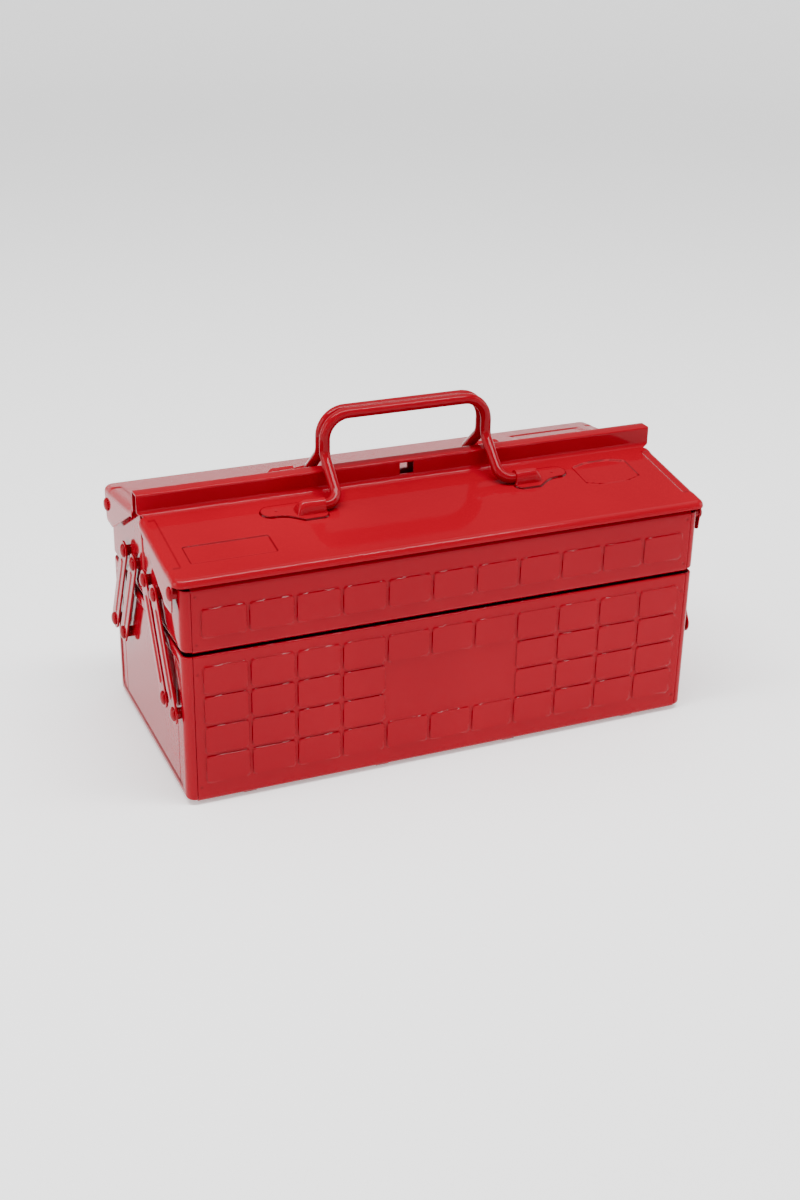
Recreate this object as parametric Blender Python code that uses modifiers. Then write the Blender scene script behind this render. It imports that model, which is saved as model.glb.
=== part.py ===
"""Two-stage cantilever tool box in pressed sheet steel.

A base stands on four pressed ribs.  Two trays swing out of it on parallel arms, each tray has its
own sloping lid, and each lid carries one bail handle.  The front lid's hood covers the rear lid's
upstand along the middle, where a padlock passes through all three walls.

Units are metres, +Z is up, +X runs along the box and -Y is its front.  The origin is under the
middle of the box, on the surface that it stands on.
"""

import math

import bmesh
import bpy
from mathutils import Euler, Matrix, Vector

# ---------------------------------------------------------------- driving dimensions (metres)
BODY_LENGTH = 0.350  # over the end panels
BODY_DEPTH = 0.165  # over the front and rear walls
SHEET = 0.0008  # every pressed sheet
FIT_GAP = 0.0003  # between pieces that rest on each other

RIB_DEPTH = 0.0020  # pressed ribs that the box stands on
RIB_WIDTH = 0.0080  # their flat underside
RIB_SLOPE = 0.0020  # each side of a rib
RIB_MIDDLE_X = 0.0450  # inner pair, from the middle
RIB_INSET = 0.0410  # outer pair, from the box's ends
RIB_END_INSET = 0.0035  # from the front and rear walls

BASE_HEIGHT = 0.1003  # base underside to rim
HEM_CORE = 0.0002  # radius left inside the rolled rim
HEM_LEG = 0.0060
BEND_RADIUS = 0.0030  # long bends of the wrapped sheets
CORNER_RADIUS = 0.0060  # upright outer corners of the end panels
FLANGE = 0.0110  # end panel's welded flange, under the wrapped sheet
PANEL_BORDER = 0.0065  # plain border round the base's sunk end panel
PANEL_SINK = 0.0008

TRAY_LIFT = 0.0016  # air between base rim and tray underside
TRAY_LEDGE = 0.0424  # tray underside to the ledge under the lid
TRAY_RIM_INSET = 0.0020  # rim above the ledge, stepped in
TRAY_STEP = 0.0012  # height of the ledge's slope
TRAY_SPLIT = 0.0012  # air between the two trays
TRAY_INNER_CORNER = 0.0020
DIVIDER_DROP = 0.0070  # tray's inner wall below the lid

SQUARE_COLUMNS = 11  # pressed squares along each long wall
SQUARE_MARGIN = 0.0048  # sheet's end to the first column
SQUARE_SLOPE = 0.0010
SQUARE_RISE = 0.0009
BASE_SQUARE_ROWS = 4
BASE_SQUARE_DROP = 0.0065  # rim to the first row
BASE_SQUARE_FOOT = 0.0120  # last row to the underside
TRAY_SQUARE_DROP = 0.0126  # ledge to the row
PLAIN_COLUMNS = (4, 5, 6)  # left flat in the two middle rows
PLAIN_ROWS = (1, 2)

PIVOT_ABOVE_TRAY = 0.0379  # lid rivet above the tray's underside
PIVOT_INSET = 0.0090  # lid rivet behind the tray's outer wall
RIM_ABOVE_PIVOT = 0.0082
LID_ABOVE_PIVOT = 0.0124  # lid's top over its rivet
LID_SLOPE = math.atan(0.15)
LID_OVERHANG = 0.0040  # lid's end past the box's end
LID_CLEARANCE = 0.0010  # lid skirt to tray wall
LID_EDGE_RADIUS = 0.0045
LID_CORNER_RADIUS = 0.0065
SKIRT_DEPTH = 0.0048
EAR_DEPTH = 0.0118  # ear below the lid rivet
EAR_WIDTH = 0.0160
FLANGE_TAPER_END = 0.0055  # flange below the lid's top, at the ridge
FLANGE_TAPER_Y = 0.0120  # from the middle
EAR_TO_CORNER = 0.0002
LID_TO_TRAY = 0.0010

RIDGE_WIDTH = 0.0100  # hood over the middle, outside
RIDGE_TOP_ABOVE_LID = 0.0123  # over the crest of the two slopes
RIDGE_EDGE_RADIUS = 0.0012
RIDGE_FOOT = 0.0030  # where the hood's front wall flares into the lid
FLARE_POINT = (0.35, 0.25)  # shares of a flare's width, outwards and upwards, at its middle
LIP_DEPTH = 0.0140
UPSTAND_GAP = 0.0004
UPSTAND_TOP_DROP = 0.0012

PADLOCK_WIDTH = 0.0094
PADLOCK_HEIGHT = 0.0078
PADLOCK_DROP = 0.0020  # hole's top below the hood's top

ARM_WIDTH = 0.0130
ARM_SHEET = 0.0014
ARM_STANDOFF = 0.0026  # tray end to arm
ARM_RIB_WIDTH = 0.0040
ARM_RIB_RISE = 0.0007
ARM_RIB_MARGIN = 0.0110  # rib's end from the pivot
ARM_FOOT_INSET = 0.0119  # outer arm's lower pivot, from the long wall
ARM_PITCH = 0.0223  # between the two arms
ARM_FOOT_HEIGHT = 0.0582  # above the base's underside
ARM_HEAD_Y = 0.0131  # inner arm's upper pivot, from the middle
ARM_HEAD_HEIGHT = 0.0206  # above the tray's underside

RIVET_SHANK = 0.0020  # radius
RIVET_SHOULDER = 0.0036
RIVET_HEAD = 0.0045
RIVET_DOME = 0.0021
RIVET_CROWN = ((0.0, 1.0), (0.55, 0.85), (0.9, 0.45), (1.0, 0.0))  # shares of head and dome
RIVET_TAIL = 0.0030
RIVET_TAIL_HEIGHT = 0.0008
RIVET_GAP = 0.00015
PIVOT_HOLE = 0.00215  # hole radius round a shank, a running fit
LOOSE_HOLE = 0.00250  # inner arm's upper hole, the linkage's open pivot

BAR_RADIUS = 0.0035  # handle rod
HANDLE_SPAN = 0.0560  # half, middle of the box to a leg
HANDLE_GRIP_RISE = 0.0487  # grip's middle over the rod's axis
HANDLE_PAIR_GAP = 0.0003
HANDLE_KINK_RISE = 0.0223  # leg's kink over the rod's axis
HANDLE_CORNER = 0.0160
HANDLE_KINK_RADIUS = 0.0100
HANDLE_FOOT_RADIUS = 0.0090
HANDLE_PIVOT_Y = 0.0290
ROD_TO_LID = 0.0003
TUNNEL_GAP = 0.0095  # leg's middle to the bracket's tunnel
TUNNEL_LENGTH = 0.0190
TUNNEL_WALL = 0.0011
TUNNEL_PLAY = 0.0004
BRACKET_PLATE = 0.0009
BRACKET_GAP = 0.0002  # lid to plate
BRACKET_MARGIN = (0.0015, 0.0005)  # plate past the tunnel's inner and outer end
BRACKET_CORNER = (0.0030, 0.0020)
BRACKET_WAIST = 0.0040  # where the body narrows to the tab
BRACKET_TAB_REACH = 0.0145  # body to the middle of the tab
BRACKET_TAB_RADIUS = 0.0068
BRACKET_TAB_OFFSET = 0.0050  # tab's middle, from the rod towards the ridge
BRACKET_LOBE = 0.0100  # plate beyond the rod, away from the ridge

ROUND_STEPS = 3  # chords in a pressed corner
RIVET_SIDES = 10
HOLE_SIDES = 12
ROD_SIDES = 16
DRILL_LENGTH = 0.0120
LID_DRILL_LENGTH = 0.0060
CUT_PAST = 0.0010  # how far a cutter runs past what it cuts
FOOT_CUT = 0.0200  # size of the block that cuts a tunnel flat
WELD = 1e-6

# ---------------------------------------------------------------- places that follow from them
HALF_LENGTH = BODY_LENGTH / 2
HALF_DEPTH = BODY_DEPTH / 2
SEAM_X = HALF_LENGTH - CORNER_RADIUS
SHEET_END_X = SEAM_X - FIT_GAP
RIB_PLACES = (RIB_INSET - HALF_LENGTH, -RIB_MIDDLE_X, RIB_MIDDLE_X, HALF_LENGTH - RIB_INSET)
HEM_RADIUS = SHEET + HEM_CORE
SQUARE_PITCH_X = 2 * (SHEET_END_X - SQUARE_MARGIN) / SQUARE_COLUMNS
SQUARE_PITCH_Z = (BASE_HEIGHT - BASE_SQUARE_DROP - BASE_SQUARE_FOOT) / BASE_SQUARE_ROWS
BASE_FLOOR = RIB_DEPTH
BASE_RIM = BASE_FLOOR + BASE_HEIGHT
TRAY_FLOOR = BASE_RIM + TRAY_LIFT
TRAY_LEDGE_Z = TRAY_FLOOR + TRAY_LEDGE
TRAY_WALL_IN = TRAY_SPLIT / 2
PIVOT_Y = HALF_DEPTH - PIVOT_INSET
PIVOT_Z = TRAY_FLOOR + PIVOT_ABOVE_TRAY
TRAY_RIM = PIVOT_Z + RIM_ABOVE_PIVOT
LID_TOP_AT_PIVOT = PIVOT_Z + LID_ABOVE_PIVOT
LID_CREST = LID_TOP_AT_PIVOT + PIVOT_Y * math.tan(LID_SLOPE)
LID_END_X = HALF_LENGTH + LID_OVERHANG
LID_FRONT_Y = HALF_DEPTH + LID_CLEARANCE + SHEET
RIDGE_TOP = LID_CREST + RIDGE_TOP_ABOVE_LID
RIDGE_Y = RIDGE_WIDTH / 2
UPSTAND_Y = RIDGE_Y + UPSTAND_GAP
PADLOCK_TOP = RIDGE_TOP - PADLOCK_DROP
HANDLE_Y = BAR_RADIUS + HANDLE_PAIR_GAP / 2
HANDLE_PIVOT_HEIGHT = BAR_RADIUS + ROD_TO_LID
TUNNEL = (HANDLE_SPAN + TUNNEL_GAP, HANDLE_SPAN + TUNNEL_GAP + TUNNEL_LENGTH)
BRACKET_START = TUNNEL[0] - BRACKET_MARGIN[0]
BRACKET_BODY_END = TUNNEL[1] + BRACKET_MARGIN[1]
BRACKET_TAB_CENTRE = BRACKET_BODY_END + BRACKET_TAB_REACH
ARM_OUTER_FOOT_Y = HALF_DEPTH - ARM_FOOT_INSET
ARM_FOOT_Y = (ARM_OUTER_FOOT_Y - ARM_PITCH, ARM_OUTER_FOOT_Y)
ARM_LEAN_Y = ARM_FOOT_Y[0] - ARM_HEAD_Y
ARM_FOOT_Z = BASE_FLOOR + ARM_FOOT_HEIGHT
ARM_HEAD_Z = TRAY_FLOOR + ARM_HEAD_HEIGHT
ARM_RISE = ARM_HEAD_Z - ARM_FOOT_Z

RED_SHEET = (0.55, 0.012, 0.020, 1.0)
RED_ROD = (0.50, 0.010, 0.018, 1.0)
RED_RIVET = (0.47, 0.010, 0.016, 1.0)


def lid_z(y):
    """Height of a lid's top face, which falls away from the middle on both sides."""
    return LID_CREST - abs(y) * math.tan(LID_SLOPE)


# ---------------------------------------------------------------- scene helpers
def clear_scene():
    """Remove every object, so that the script can run again."""
    for old in list(bpy.data.objects):
        bpy.data.objects.remove(old, do_unlink=True)


def new_collection(name):
    """Return a fresh collection under the scene's own."""
    found = bpy.data.collections.get(name)
    if found:
        bpy.data.collections.remove(found)
    made = bpy.data.collections.new(name)
    bpy.context.scene.collection.children.link(made)
    return made


def painted(name, colour, roughness):
    """Return a glossy stoved paint."""
    paint = bpy.data.materials.new(name)
    paint.use_nodes = True
    shader = paint.node_tree.nodes["Principled BSDF"]
    shader.inputs["Base Color"].default_value = colour
    shader.inputs["Metallic"].default_value = 0.0
    shader.inputs["Roughness"].default_value = roughness
    paint.diffuse_color = colour
    return paint


def add_object(name, mesh, collection, paint=None):
    """Link a new object that shows the mesh."""
    made = bpy.data.objects.new(name, mesh)
    collection.objects.link(made)
    if paint:
        mesh.materials.append(paint)
    return made


def add_axis(name, point, parent=None):
    """Return an empty that marks a moving body's axis; its pieces hang on it."""
    axis = bpy.data.objects.new(name, None)
    axis.empty_display_size = 0.02
    PARTS.objects.link(axis)
    hang(axis, point, parent)
    return axis


def hang(made, point, parent=None):
    """Put an object's origin at a world point, under a parent that is only moved, not turned."""
    made.parent = parent
    made.location = Vector(point) - (world_place(parent) if parent else Vector())


def world_place(made):
    """World position of an object whose parents are only moved, not turned."""
    place = Vector()
    while made:
        place += made.location
        made = made.parent
    return place


def shift_mesh(mesh, offset):
    """Move a mesh's points."""
    mesh.transform(Matrix.Translation(offset))


# ---------------------------------------------------------------- sheet metal helpers
def arc(centre, radius, start, end, steps=ROUND_STEPS):
    """Return points round a centre, angles in degrees, ends included."""
    turn = [math.radians(start + (end - start) * i / steps) for i in range(steps + 1)]
    return [(centre[0] + radius * math.cos(a), centre[1] + radius * math.sin(a)) for a in turn]


def loft(bm, rows):
    """Join rows of points, each as long as the next, by quads; returns their vertices."""
    grid = [[bm.verts.new(point) for point in row] for row in rows]
    for lower, upper in zip(grid, grid[1:]):
        for a, b, c, d in zip(lower, lower[1:], upper[1:], upper):
            bm.faces.new((a, b, c, d))
    return grid


def face_away(bm, inside):
    """Turn an open shell's faces away from a point inside it."""
    bmesh.ops.remove_doubles(bm, verts=bm.verts[:], dist=WELD)
    bmesh.ops.recalc_face_normals(bm, faces=bm.faces[:])
    bm.normal_update()
    score = sum((f.calc_center_median() - Vector(inside)).dot(f.normal) * f.calc_area() for f in bm.faces)
    if score < 0:
        bmesh.ops.reverse_faces(bm, faces=bm.faces[:])


def mirror_mesh(bm, flip_x, flip_y):
    """Mirror a bmesh across the box's middle planes and keep its faces pointing the same way."""
    scale = Matrix.Diagonal((-1 if flip_x else 1, -1 if flip_y else 1, 1, 1))
    bmesh.ops.transform(bm, matrix=scale, verts=bm.verts[:])
    if flip_x != flip_y:
        bmesh.ops.reverse_faces(bm, faces=bm.faces[:])


def sheet_piece(name, bm, axis, paint, thickness=SHEET):
    """Make the pressed sheet whose outer skin is the bmesh, with its origin on its body's axis."""
    mesh = bpy.data.meshes.new(name)
    bm.to_mesh(mesh)
    bm.free()
    made = add_object(name, mesh, PARTS, paint)
    point = world_place(axis)
    shift_mesh(mesh, -point)
    hang(made, point, axis)
    wall = made.modifiers.new("sheet", "SOLIDIFY")
    wall.thickness = thickness
    wall.offset = -1
    wall.use_even_offset = True
    wall.use_quality_normals = True
    return made


def cut(made, cutter, label):
    """Take a cutter's shape out of a piece."""
    knife = made.modifiers.new(label, "BOOLEAN")
    knife.operation = "DIFFERENCE"
    knife.object = cutter


def join(made, extra, label):
    """Add a helper's shape to a piece."""
    weld = made.modifiers.new(label, "BOOLEAN")
    weld.operation = "UNION"
    weld.object = extra


def hide_helper(made):
    """Keep a cutter out of the render and the build."""
    made.hide_render = True
    made.display_type = "WIRE"


def add_rod(bm, radius, length, sides, place):
    """Add a closed cylinder along Z, placed by a matrix."""
    bmesh.ops.create_cone(
        bm, cap_ends=True, segments=sides, radius1=radius, radius2=radius, depth=length, matrix=place
    )


def drills_along_x(name, holes, depth=DRILL_LENGTH):
    """Return one cutter with a cylinder along X at each (x, y, z, radius)."""
    bm = bmesh.new()
    for x, y, z, radius in holes:
        place = Matrix.Translation((x, y, z)) @ Euler((0, math.pi / 2, 0)).to_matrix().to_4x4()
        add_rod(bm, radius, depth, HOLE_SIDES, place)
    return helper_from(name, bm)


def helper_from(name, bm):
    """Make a hidden helper object out of a bmesh."""
    mesh = bpy.data.meshes.new(name)
    bm.to_mesh(mesh)
    bm.free()
    made = add_object(name, mesh, HELPERS)
    hide_helper(made)
    return made


def box_helper(name, low, high):
    """Return a hidden box between two corners."""
    bm = bmesh.new()
    size = Vector(high) - Vector(low)
    middle = (Vector(high) + Vector(low)) / 2
    bmesh.ops.create_cube(bm, size=1, matrix=Matrix.Translation(middle) @ Matrix.Diagonal((*size, 1)))
    return helper_from(name, bm)


# ---------------------------------------------------------------- wrapped sheets
def square_edges():
    """X of the borders between the pressed squares, from left to right."""
    start = -SQUARE_COLUMNS * SQUARE_PITCH_X / 2
    return [start + i * SQUARE_PITCH_X for i in range(SQUARE_COLUMNS + 1)]


def wall_rows(top, rows):
    """Heights of the borders of rows of squares, from the top down."""
    return [top - i * SQUARE_PITCH_Z for i in range(rows + 1)]


def press_squares(bm, wall_y, top, rows, plain):
    """Raise the squares of a long wall; plain names the (column, row) pairs left flat."""
    edges = square_edges()
    squares = []
    for face in bm.faces:
        middle = face.calc_center_median()
        column = math.floor((middle.x - edges[0]) / SQUARE_PITCH_X)
        row = math.floor((top - middle.z) / SQUARE_PITCH_Z)
        on_wall = abs(middle.y - wall_y) < SHEET / 2
        inside = 0 <= column < SQUARE_COLUMNS and 0 <= row < rows
        if on_wall and inside and (column, row) not in plain:
            squares.append(face)
    bmesh.ops.inset_individual(bm, faces=squares, thickness=SQUARE_SLOPE, depth=SQUARE_RISE)


def wrapped_sheet(path):
    """Carry a cross-section along the box, with a station at each border of the squares."""
    stations = [-SHEET_END_X, *square_edges(), SHEET_END_X]
    bm = bmesh.new()
    loft(bm, [[(x, y, z) for y, z in path] for x in stations])
    return bm


def base_section():
    """Front half of the base sheet's outer skin, from its rolled rim down to the middle."""
    inner = -HALF_DEPTH + 2 * HEM_RADIUS
    roll = (-HALF_DEPTH + HEM_RADIUS, BASE_RIM - HEM_RADIUS)
    rows = wall_rows(BASE_RIM - BASE_SQUARE_DROP, BASE_SQUARE_ROWS)
    bend = (-HALF_DEPTH + BEND_RADIUS, BASE_FLOOR + BEND_RADIUS)
    return [
        (inner, BASE_RIM - HEM_LEG),
        *arc(roll, HEM_RADIUS, 0, 180, 4),
        *[(-HALF_DEPTH, z) for z in rows],
        *arc(bend, BEND_RADIUS, 180, 270),
    ]


def build_base_sheet(axis):
    """Front, bottom and rear of the base in one sheet, with its squares and ribs."""
    front = base_section()
    rear = [(-y, z) for y, z in reversed(front)]
    bm = wrapped_sheet(front + rear)
    face_away(bm, (0, 0, BASE_RIM / 2))
    top = BASE_RIM - BASE_SQUARE_DROP
    plain = {(column, row) for column in PLAIN_COLUMNS for row in PLAIN_ROWS}
    for wall_y in (-HALF_DEPTH, HALF_DEPTH):
        press_squares(bm, wall_y, top, BASE_SQUARE_ROWS, plain)
    made = sheet_piece("base_sheet", bm, axis, SHEET_PAINT)
    inside_floor = BASE_FLOOR + SHEET
    join(made, rib_bars("rib_outside", RIB_WIDTH / 2, 0.0, inside_floor - SHEET / 2), "ribs")
    hollows = rib_bars("rib_inside", RIB_WIDTH / 2 - SHEET, SHEET, inside_floor + SHEET / 2)
    cut(made, hollows, "rib hollows")
    return made


def rib_bars(name, half_width, low, high):
    """Return bars across the box under its floor, wider at the top by the ribs' slope."""
    bm = bmesh.new()
    middle = (low + high) / 2
    reach = HALF_DEPTH - RIB_END_INSET - low
    flare = RIB_SLOPE * (high - low) / RIB_DEPTH
    for x in RIB_PLACES:
        size = Matrix.Diagonal((2 * half_width, 2 * reach, high - low, 1))
        bar = bmesh.ops.create_cube(bm, size=1, matrix=Matrix.Translation((x, 0, middle)) @ size)
        for vert in bar["verts"]:
            if vert.co.z > middle:
                vert.co.x += math.copysign(flare, vert.co.x - x)
    return helper_from(name, bm)


def tray_section():
    """The front tray sheet's outer skin: stepped rim, wall, bottom and inner wall."""
    rim_y = -HALF_DEPTH + TRAY_RIM_INSET
    square_top = TRAY_LEDGE_Z - TRAY_SQUARE_DROP
    bend = (-HALF_DEPTH + BEND_RADIUS, TRAY_FLOOR + BEND_RADIUS)
    inner_bend = (-TRAY_WALL_IN - TRAY_INNER_CORNER, TRAY_FLOOR + TRAY_INNER_CORNER)
    return [
        (rim_y, TRAY_RIM),
        (rim_y, TRAY_LEDGE_Z + TRAY_STEP / 2),
        (-HALF_DEPTH, TRAY_LEDGE_Z - TRAY_STEP / 2),
        *[(-HALF_DEPTH, z) for z in wall_rows(square_top, 1)],
        *arc(bend, BEND_RADIUS, 180, 270),
        *arc(inner_bend, TRAY_INNER_CORNER, 270, 360),
        (-TRAY_WALL_IN, lid_z(0) - SHEET - DIVIDER_DROP),
    ]


def build_tray_sheet(side, axis, rear):
    """Outer wall, bottom and inner wall of one tray."""
    bm = wrapped_sheet(tray_section())
    face_away(bm, (0, -HALF_DEPTH / 2, TRAY_LEDGE_Z))
    press_squares(bm, -HALF_DEPTH, TRAY_LEDGE_Z - TRAY_SQUARE_DROP, 1, ())
    mirror_mesh(bm, False, rear)
    return sheet_piece(f"{side}_tray_sheet", bm, axis, SHEET_PAINT)


# ---------------------------------------------------------------- end panels
def corner_plan(wall_y, radius, towards):
    """Plan of one upright corner, from the welded flange round to the end wall.

    wall_y is the long wall's outer face and towards is +1 where the box lies on its +Y side.
    Each point is (x, y, role), and its role sets how high it stands.
    """
    under = wall_y + towards * (SHEET + FIT_GAP)
    middle = (-HALF_LENGTH + radius, wall_y + towards * radius)
    flange = [(-SEAM_X + FLANGE, under, "flange"), (-SEAM_X, under, "flange"), (-SEAM_X, wall_y, "round")]
    turns = (math.pi / 2 * i / ROUND_STEPS for i in range(ROUND_STEPS + 1))
    x, y = middle
    rounded = [(x - radius * math.sin(a), y - towards * radius * math.cos(a), "round") for a in turns]
    rounded[-1] = (-HALF_LENGTH, middle[1], "wall")
    return flange + rounded


def end_plan(front, rear, inner_ys):
    """Plan of a left end panel from flange to flange.

    front and rear are (wall_y, radius); inner_ys are extra points on the end wall.
    """
    wall = [(-HALF_LENGTH, y, "wall") for y in inner_ys]
    return corner_plan(*front, 1) + wall + corner_plan(*rear, -1)[::-1]


def end_row(plan, heights):
    """Points of a plan at the height of each one's role."""
    return [(x, y, heights[role]) for x, y, role in plan]


def end_foot(floor):
    """Heights of an end panel's foot: it stands on the wrapped sheet's floor."""
    foot = floor + SHEET + FIT_GAP
    return {"flange": foot + BEND_RADIUS, "round": foot, "wall": foot}


def build_base_end(side, right, axis):
    """One end of the base: sunk panel, rolled rim, floor flange and four rivet holes."""
    straight = HALF_DEPTH - CORNER_RADIUS
    bead = straight - PANEL_BORDER / 4
    plan = end_plan((-HALF_DEPTH, CORNER_RADIUS), (HALF_DEPTH, CORNER_RADIUS), (-bead, bead))
    levels = (BASE_FLOOR + PANEL_BORDER, BASE_RIM - PANEL_BORDER)
    flange_top = BASE_RIM - HEM_LEG - FIT_GAP
    rows = [end_foot(BASE_FLOOR)]
    rows += [{"flange": z, "round": z, "wall": z} for z in (levels[0], levels[1] - HEM_LEG)]
    rows.append({"flange": flange_top, "round": levels[1], "wall": levels[1]})
    rows.append({"flange": flange_top, "round": BASE_RIM, "wall": BASE_RIM - HEM_RADIUS})
    bm = bmesh.new()
    loft(bm, [end_row(plan, heights) for heights in rows])
    floor_flange(bm, straight, -straight, BASE_FLOOR)
    for towards in (1, -1):
        floor_corner(bm, -towards * HALF_DEPTH, CORNER_RADIUS, towards, BASE_FLOOR)
    rim_roll(bm, straight)
    face_away(bm, (0, 0, BASE_RIM / 2))
    sunk = [f for f in bm.faces if is_panel(f, bead, levels)]
    bmesh.ops.inset_individual(bm, faces=sunk, thickness=SHEET, depth=-PANEL_SINK)
    mirror_mesh(bm, right, False)
    made = sheet_piece(f"base_end_{side}", bm, axis, SHEET_PAINT)
    sign = 1 if right else -1
    holes = [
        (sign * HALF_LENGTH, way * y, ARM_FOOT_Z, PIVOT_HOLE) for y in ARM_FOOT_Y for way in (-1, 1)
    ]
    cut(made, drills_along_x(f"base_end_{side}_holes", holes), "rivet holes")
    return made


def is_panel(face, bead, levels):
    """Tell the end wall's middle face from its border."""
    middle = face.calc_center_median()
    on_end = abs(middle.x + HALF_LENGTH) < SHEET / 2
    return on_end and abs(middle.y) < bead / 2 and levels[0] < middle.z < levels[1]


def floor_flange(bm, y_high, y_low, floor):
    """Turn the end wall's foot inwards over the wrapped sheet's floor."""
    z = floor + SHEET + FIT_GAP
    ys = sorted({round(v.co.y, 6) for v in bm.verts if foot_vertex(v, z, y_low, y_high)})
    stations = (-HALF_LENGTH, -SEAM_X, FLANGE - SEAM_X)
    loft(bm, [[(x, y, z) for y in ys] for x in stations])


def floor_corner(bm, wall_y, radius, towards, floor):
    """Close the floor under one rounded upright corner, out to the wrapped sheet's end."""
    z = floor + SHEET + FIT_GAP
    rounded = [(x, y, z) for x, y, role in corner_plan(wall_y, radius, towards)[2:]]
    middle = (-SEAM_X, wall_y + towards * radius, z)
    bm.faces.new([bm.verts.new(point) for point in (*rounded, middle)])


def foot_vertex(vert, z, y_low, y_high):
    """Tell the straight part of the end wall's foot."""
    on_end = abs(vert.co.x + HALF_LENGTH) < WELD and abs(vert.co.z - z) < WELD
    return on_end and y_low - WELD <= vert.co.y <= y_high + WELD


def rim_roll(bm, straight):
    """Roll the end wall's rim inwards."""
    z = BASE_RIM - HEM_RADIUS
    ys = sorted({round(v.co.y, 6) for v in bm.verts if foot_vertex(v, z, -straight, straight)})
    section = arc((-HALF_LENGTH + HEM_RADIUS, z), HEM_RADIUS, 180, 0, 4)
    section.append((-HALF_LENGTH + 2 * HEM_RADIUS, BASE_RIM - HEM_LEG))
    loft(bm, [[(x, y, height) for y in ys] for x, height in section])


def build_tray_end(side, end, right, axis, rear):
    """One end of a tray, cut to the lid's slope along its top."""
    front_y = -HALF_DEPTH + CORNER_RADIUS
    inner_y = -TRAY_WALL_IN - TRAY_INNER_CORNER
    plan = end_plan((-HALF_DEPTH, CORNER_RADIUS), (-TRAY_WALL_IN, TRAY_INNER_CORNER), (-PIVOT_Y,))
    level = TRAY_LEDGE_Z - SHEET
    bm = bmesh.new()
    top = {"flange": level - TRAY_RIM_INSET, "round": level, "wall": level}
    loft(bm, [end_row(plan, end_foot(TRAY_FLOOR)), end_row(plan, top)])
    floor_flange(bm, inner_y, front_y, TRAY_FLOOR)
    floor_corner(bm, -HALF_DEPTH, CORNER_RADIUS, 1, TRAY_FLOOR)
    tops = [
        (front_y, PIVOT_Z + RIM_ABOVE_PIVOT),
        (-PIVOT_Y, lid_z(PIVOT_Y) - SHEET - LID_TO_TRAY),
        (inner_y, lid_z(inner_y) - SHEET - LID_TO_TRAY),
    ]
    loft(bm, [[(-HALF_LENGTH, y, level) for y, _ in tops], [(-HALF_LENGTH, y, z) for y, z in tops]])
    face_away(bm, (0, -HALF_DEPTH / 2, TRAY_LEDGE_Z))
    mirror_mesh(bm, right, rear)
    made = sheet_piece(f"{side}_tray_end_{end}", bm, axis, SHEET_PAINT)
    sign_x = 1 if right else -1
    sign_y = 1 if rear else -1
    holes = [(sign_x * HALF_LENGTH, sign_y * (y - ARM_LEAN_Y), ARM_HEAD_Z, PIVOT_HOLE) for y in ARM_FOOT_Y]
    holes.append((sign_x * HALF_LENGTH, sign_y * PIVOT_Y, PIVOT_Z, PIVOT_HOLE))
    cut(made, drills_along_x(f"{side}_tray_end_{end}_holes", holes), "rivet holes")
    return made


# ---------------------------------------------------------------- lids
def lid_outline(offset):
    """Plan of a front lid's flat, grown by offset: left end, front corners and right end."""
    end_x = LID_END_X - LID_EDGE_RADIUS + offset
    front_y = LID_FRONT_Y - LID_EDGE_RADIUS + offset
    radius = LID_CORNER_RADIUS - LID_EDGE_RADIUS + offset
    left = [(-end_x, -y) for y in ear_stations()]
    corner = arc((-end_x + radius, -front_y + radius), radius, 180, 270)
    right = [(-x, y) for x, y in reversed(left + corner)]
    return left + corner + right


def ear_stations():
    """Distances from the middle at which the end flange changes: ridge, taper, ear and ear edge."""
    outer = LID_FRONT_Y - LID_CORNER_RADIUS - EAR_TO_CORNER
    return (ridge_foot_y(), FLANGE_TAPER_Y, outer - EAR_WIDTH, outer)


def ridge_foot_y():
    """Where the front lid's slope meets the hood's flare."""
    return RIDGE_Y + RIDGE_FOOT


def ear_bottom(y):
    """Height of the end flange's lower edge."""
    _, taper, inner, _ = ear_stations()
    low = PIVOT_Z - EAR_DEPTH
    high = lid_z(taper) - FLANGE_TAPER_END
    share = min(max((inner - abs(y)) / (inner - taper), 0), 1)
    return low + (high - low) * share


def lid_shell():
    """Front lid's slope with its rolled edges, skirt and ears, open along the ridge."""
    bm = bmesh.new()
    angles = [math.pi / 2 * i / ROUND_STEPS for i in range(ROUND_STEPS + 1)]
    rings = [(LID_EDGE_RADIUS * math.sin(a), LID_EDGE_RADIUS * (1 - math.cos(a))) for a in angles]
    rings.append((LID_EDGE_RADIUS, SKIRT_DEPTH))
    rows = [[(x, y, lid_z(y) - drop) for x, y in lid_outline(offset)] for offset, drop in rings]
    grid = loft(bm, rows)
    bm.faces.new(grid[0])
    count = len(ear_stations())
    last = rows[-1]
    for chain in (last[:count], last[-count:]):
        loft(bm, [chain, [(x, y, ear_bottom(y)) for x, y, _ in chain]])
    return bm


def flare_section(wall_y):
    """From the lid's slope up into a ridge wall's face: foot, middle and top of the flare."""
    width = ridge_foot_y() - wall_y
    out, up = FLARE_POINT
    foot = lid_z(wall_y)
    return [
        (-ridge_foot_y(), lid_z(ridge_foot_y())),
        (-wall_y - width * out, foot + width * up),
        (-wall_y, foot + width),
    ]


def hood_section():
    """Front lid's hood over the middle, from the flare at its foot to the lip behind."""
    top = RIDGE_TOP - RIDGE_EDGE_RADIUS
    return [
        *flare_section(RIDGE_Y),
        *arc((-RIDGE_Y + RIDGE_EDGE_RADIUS, top), RIDGE_EDGE_RADIUS, 180, 90, 2),
        *arc((RIDGE_Y - RIDGE_EDGE_RADIUS, top), RIDGE_EDGE_RADIUS, 90, 0, 2),
        (RIDGE_Y, RIDGE_TOP - LIP_DEPTH),
    ]


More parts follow.
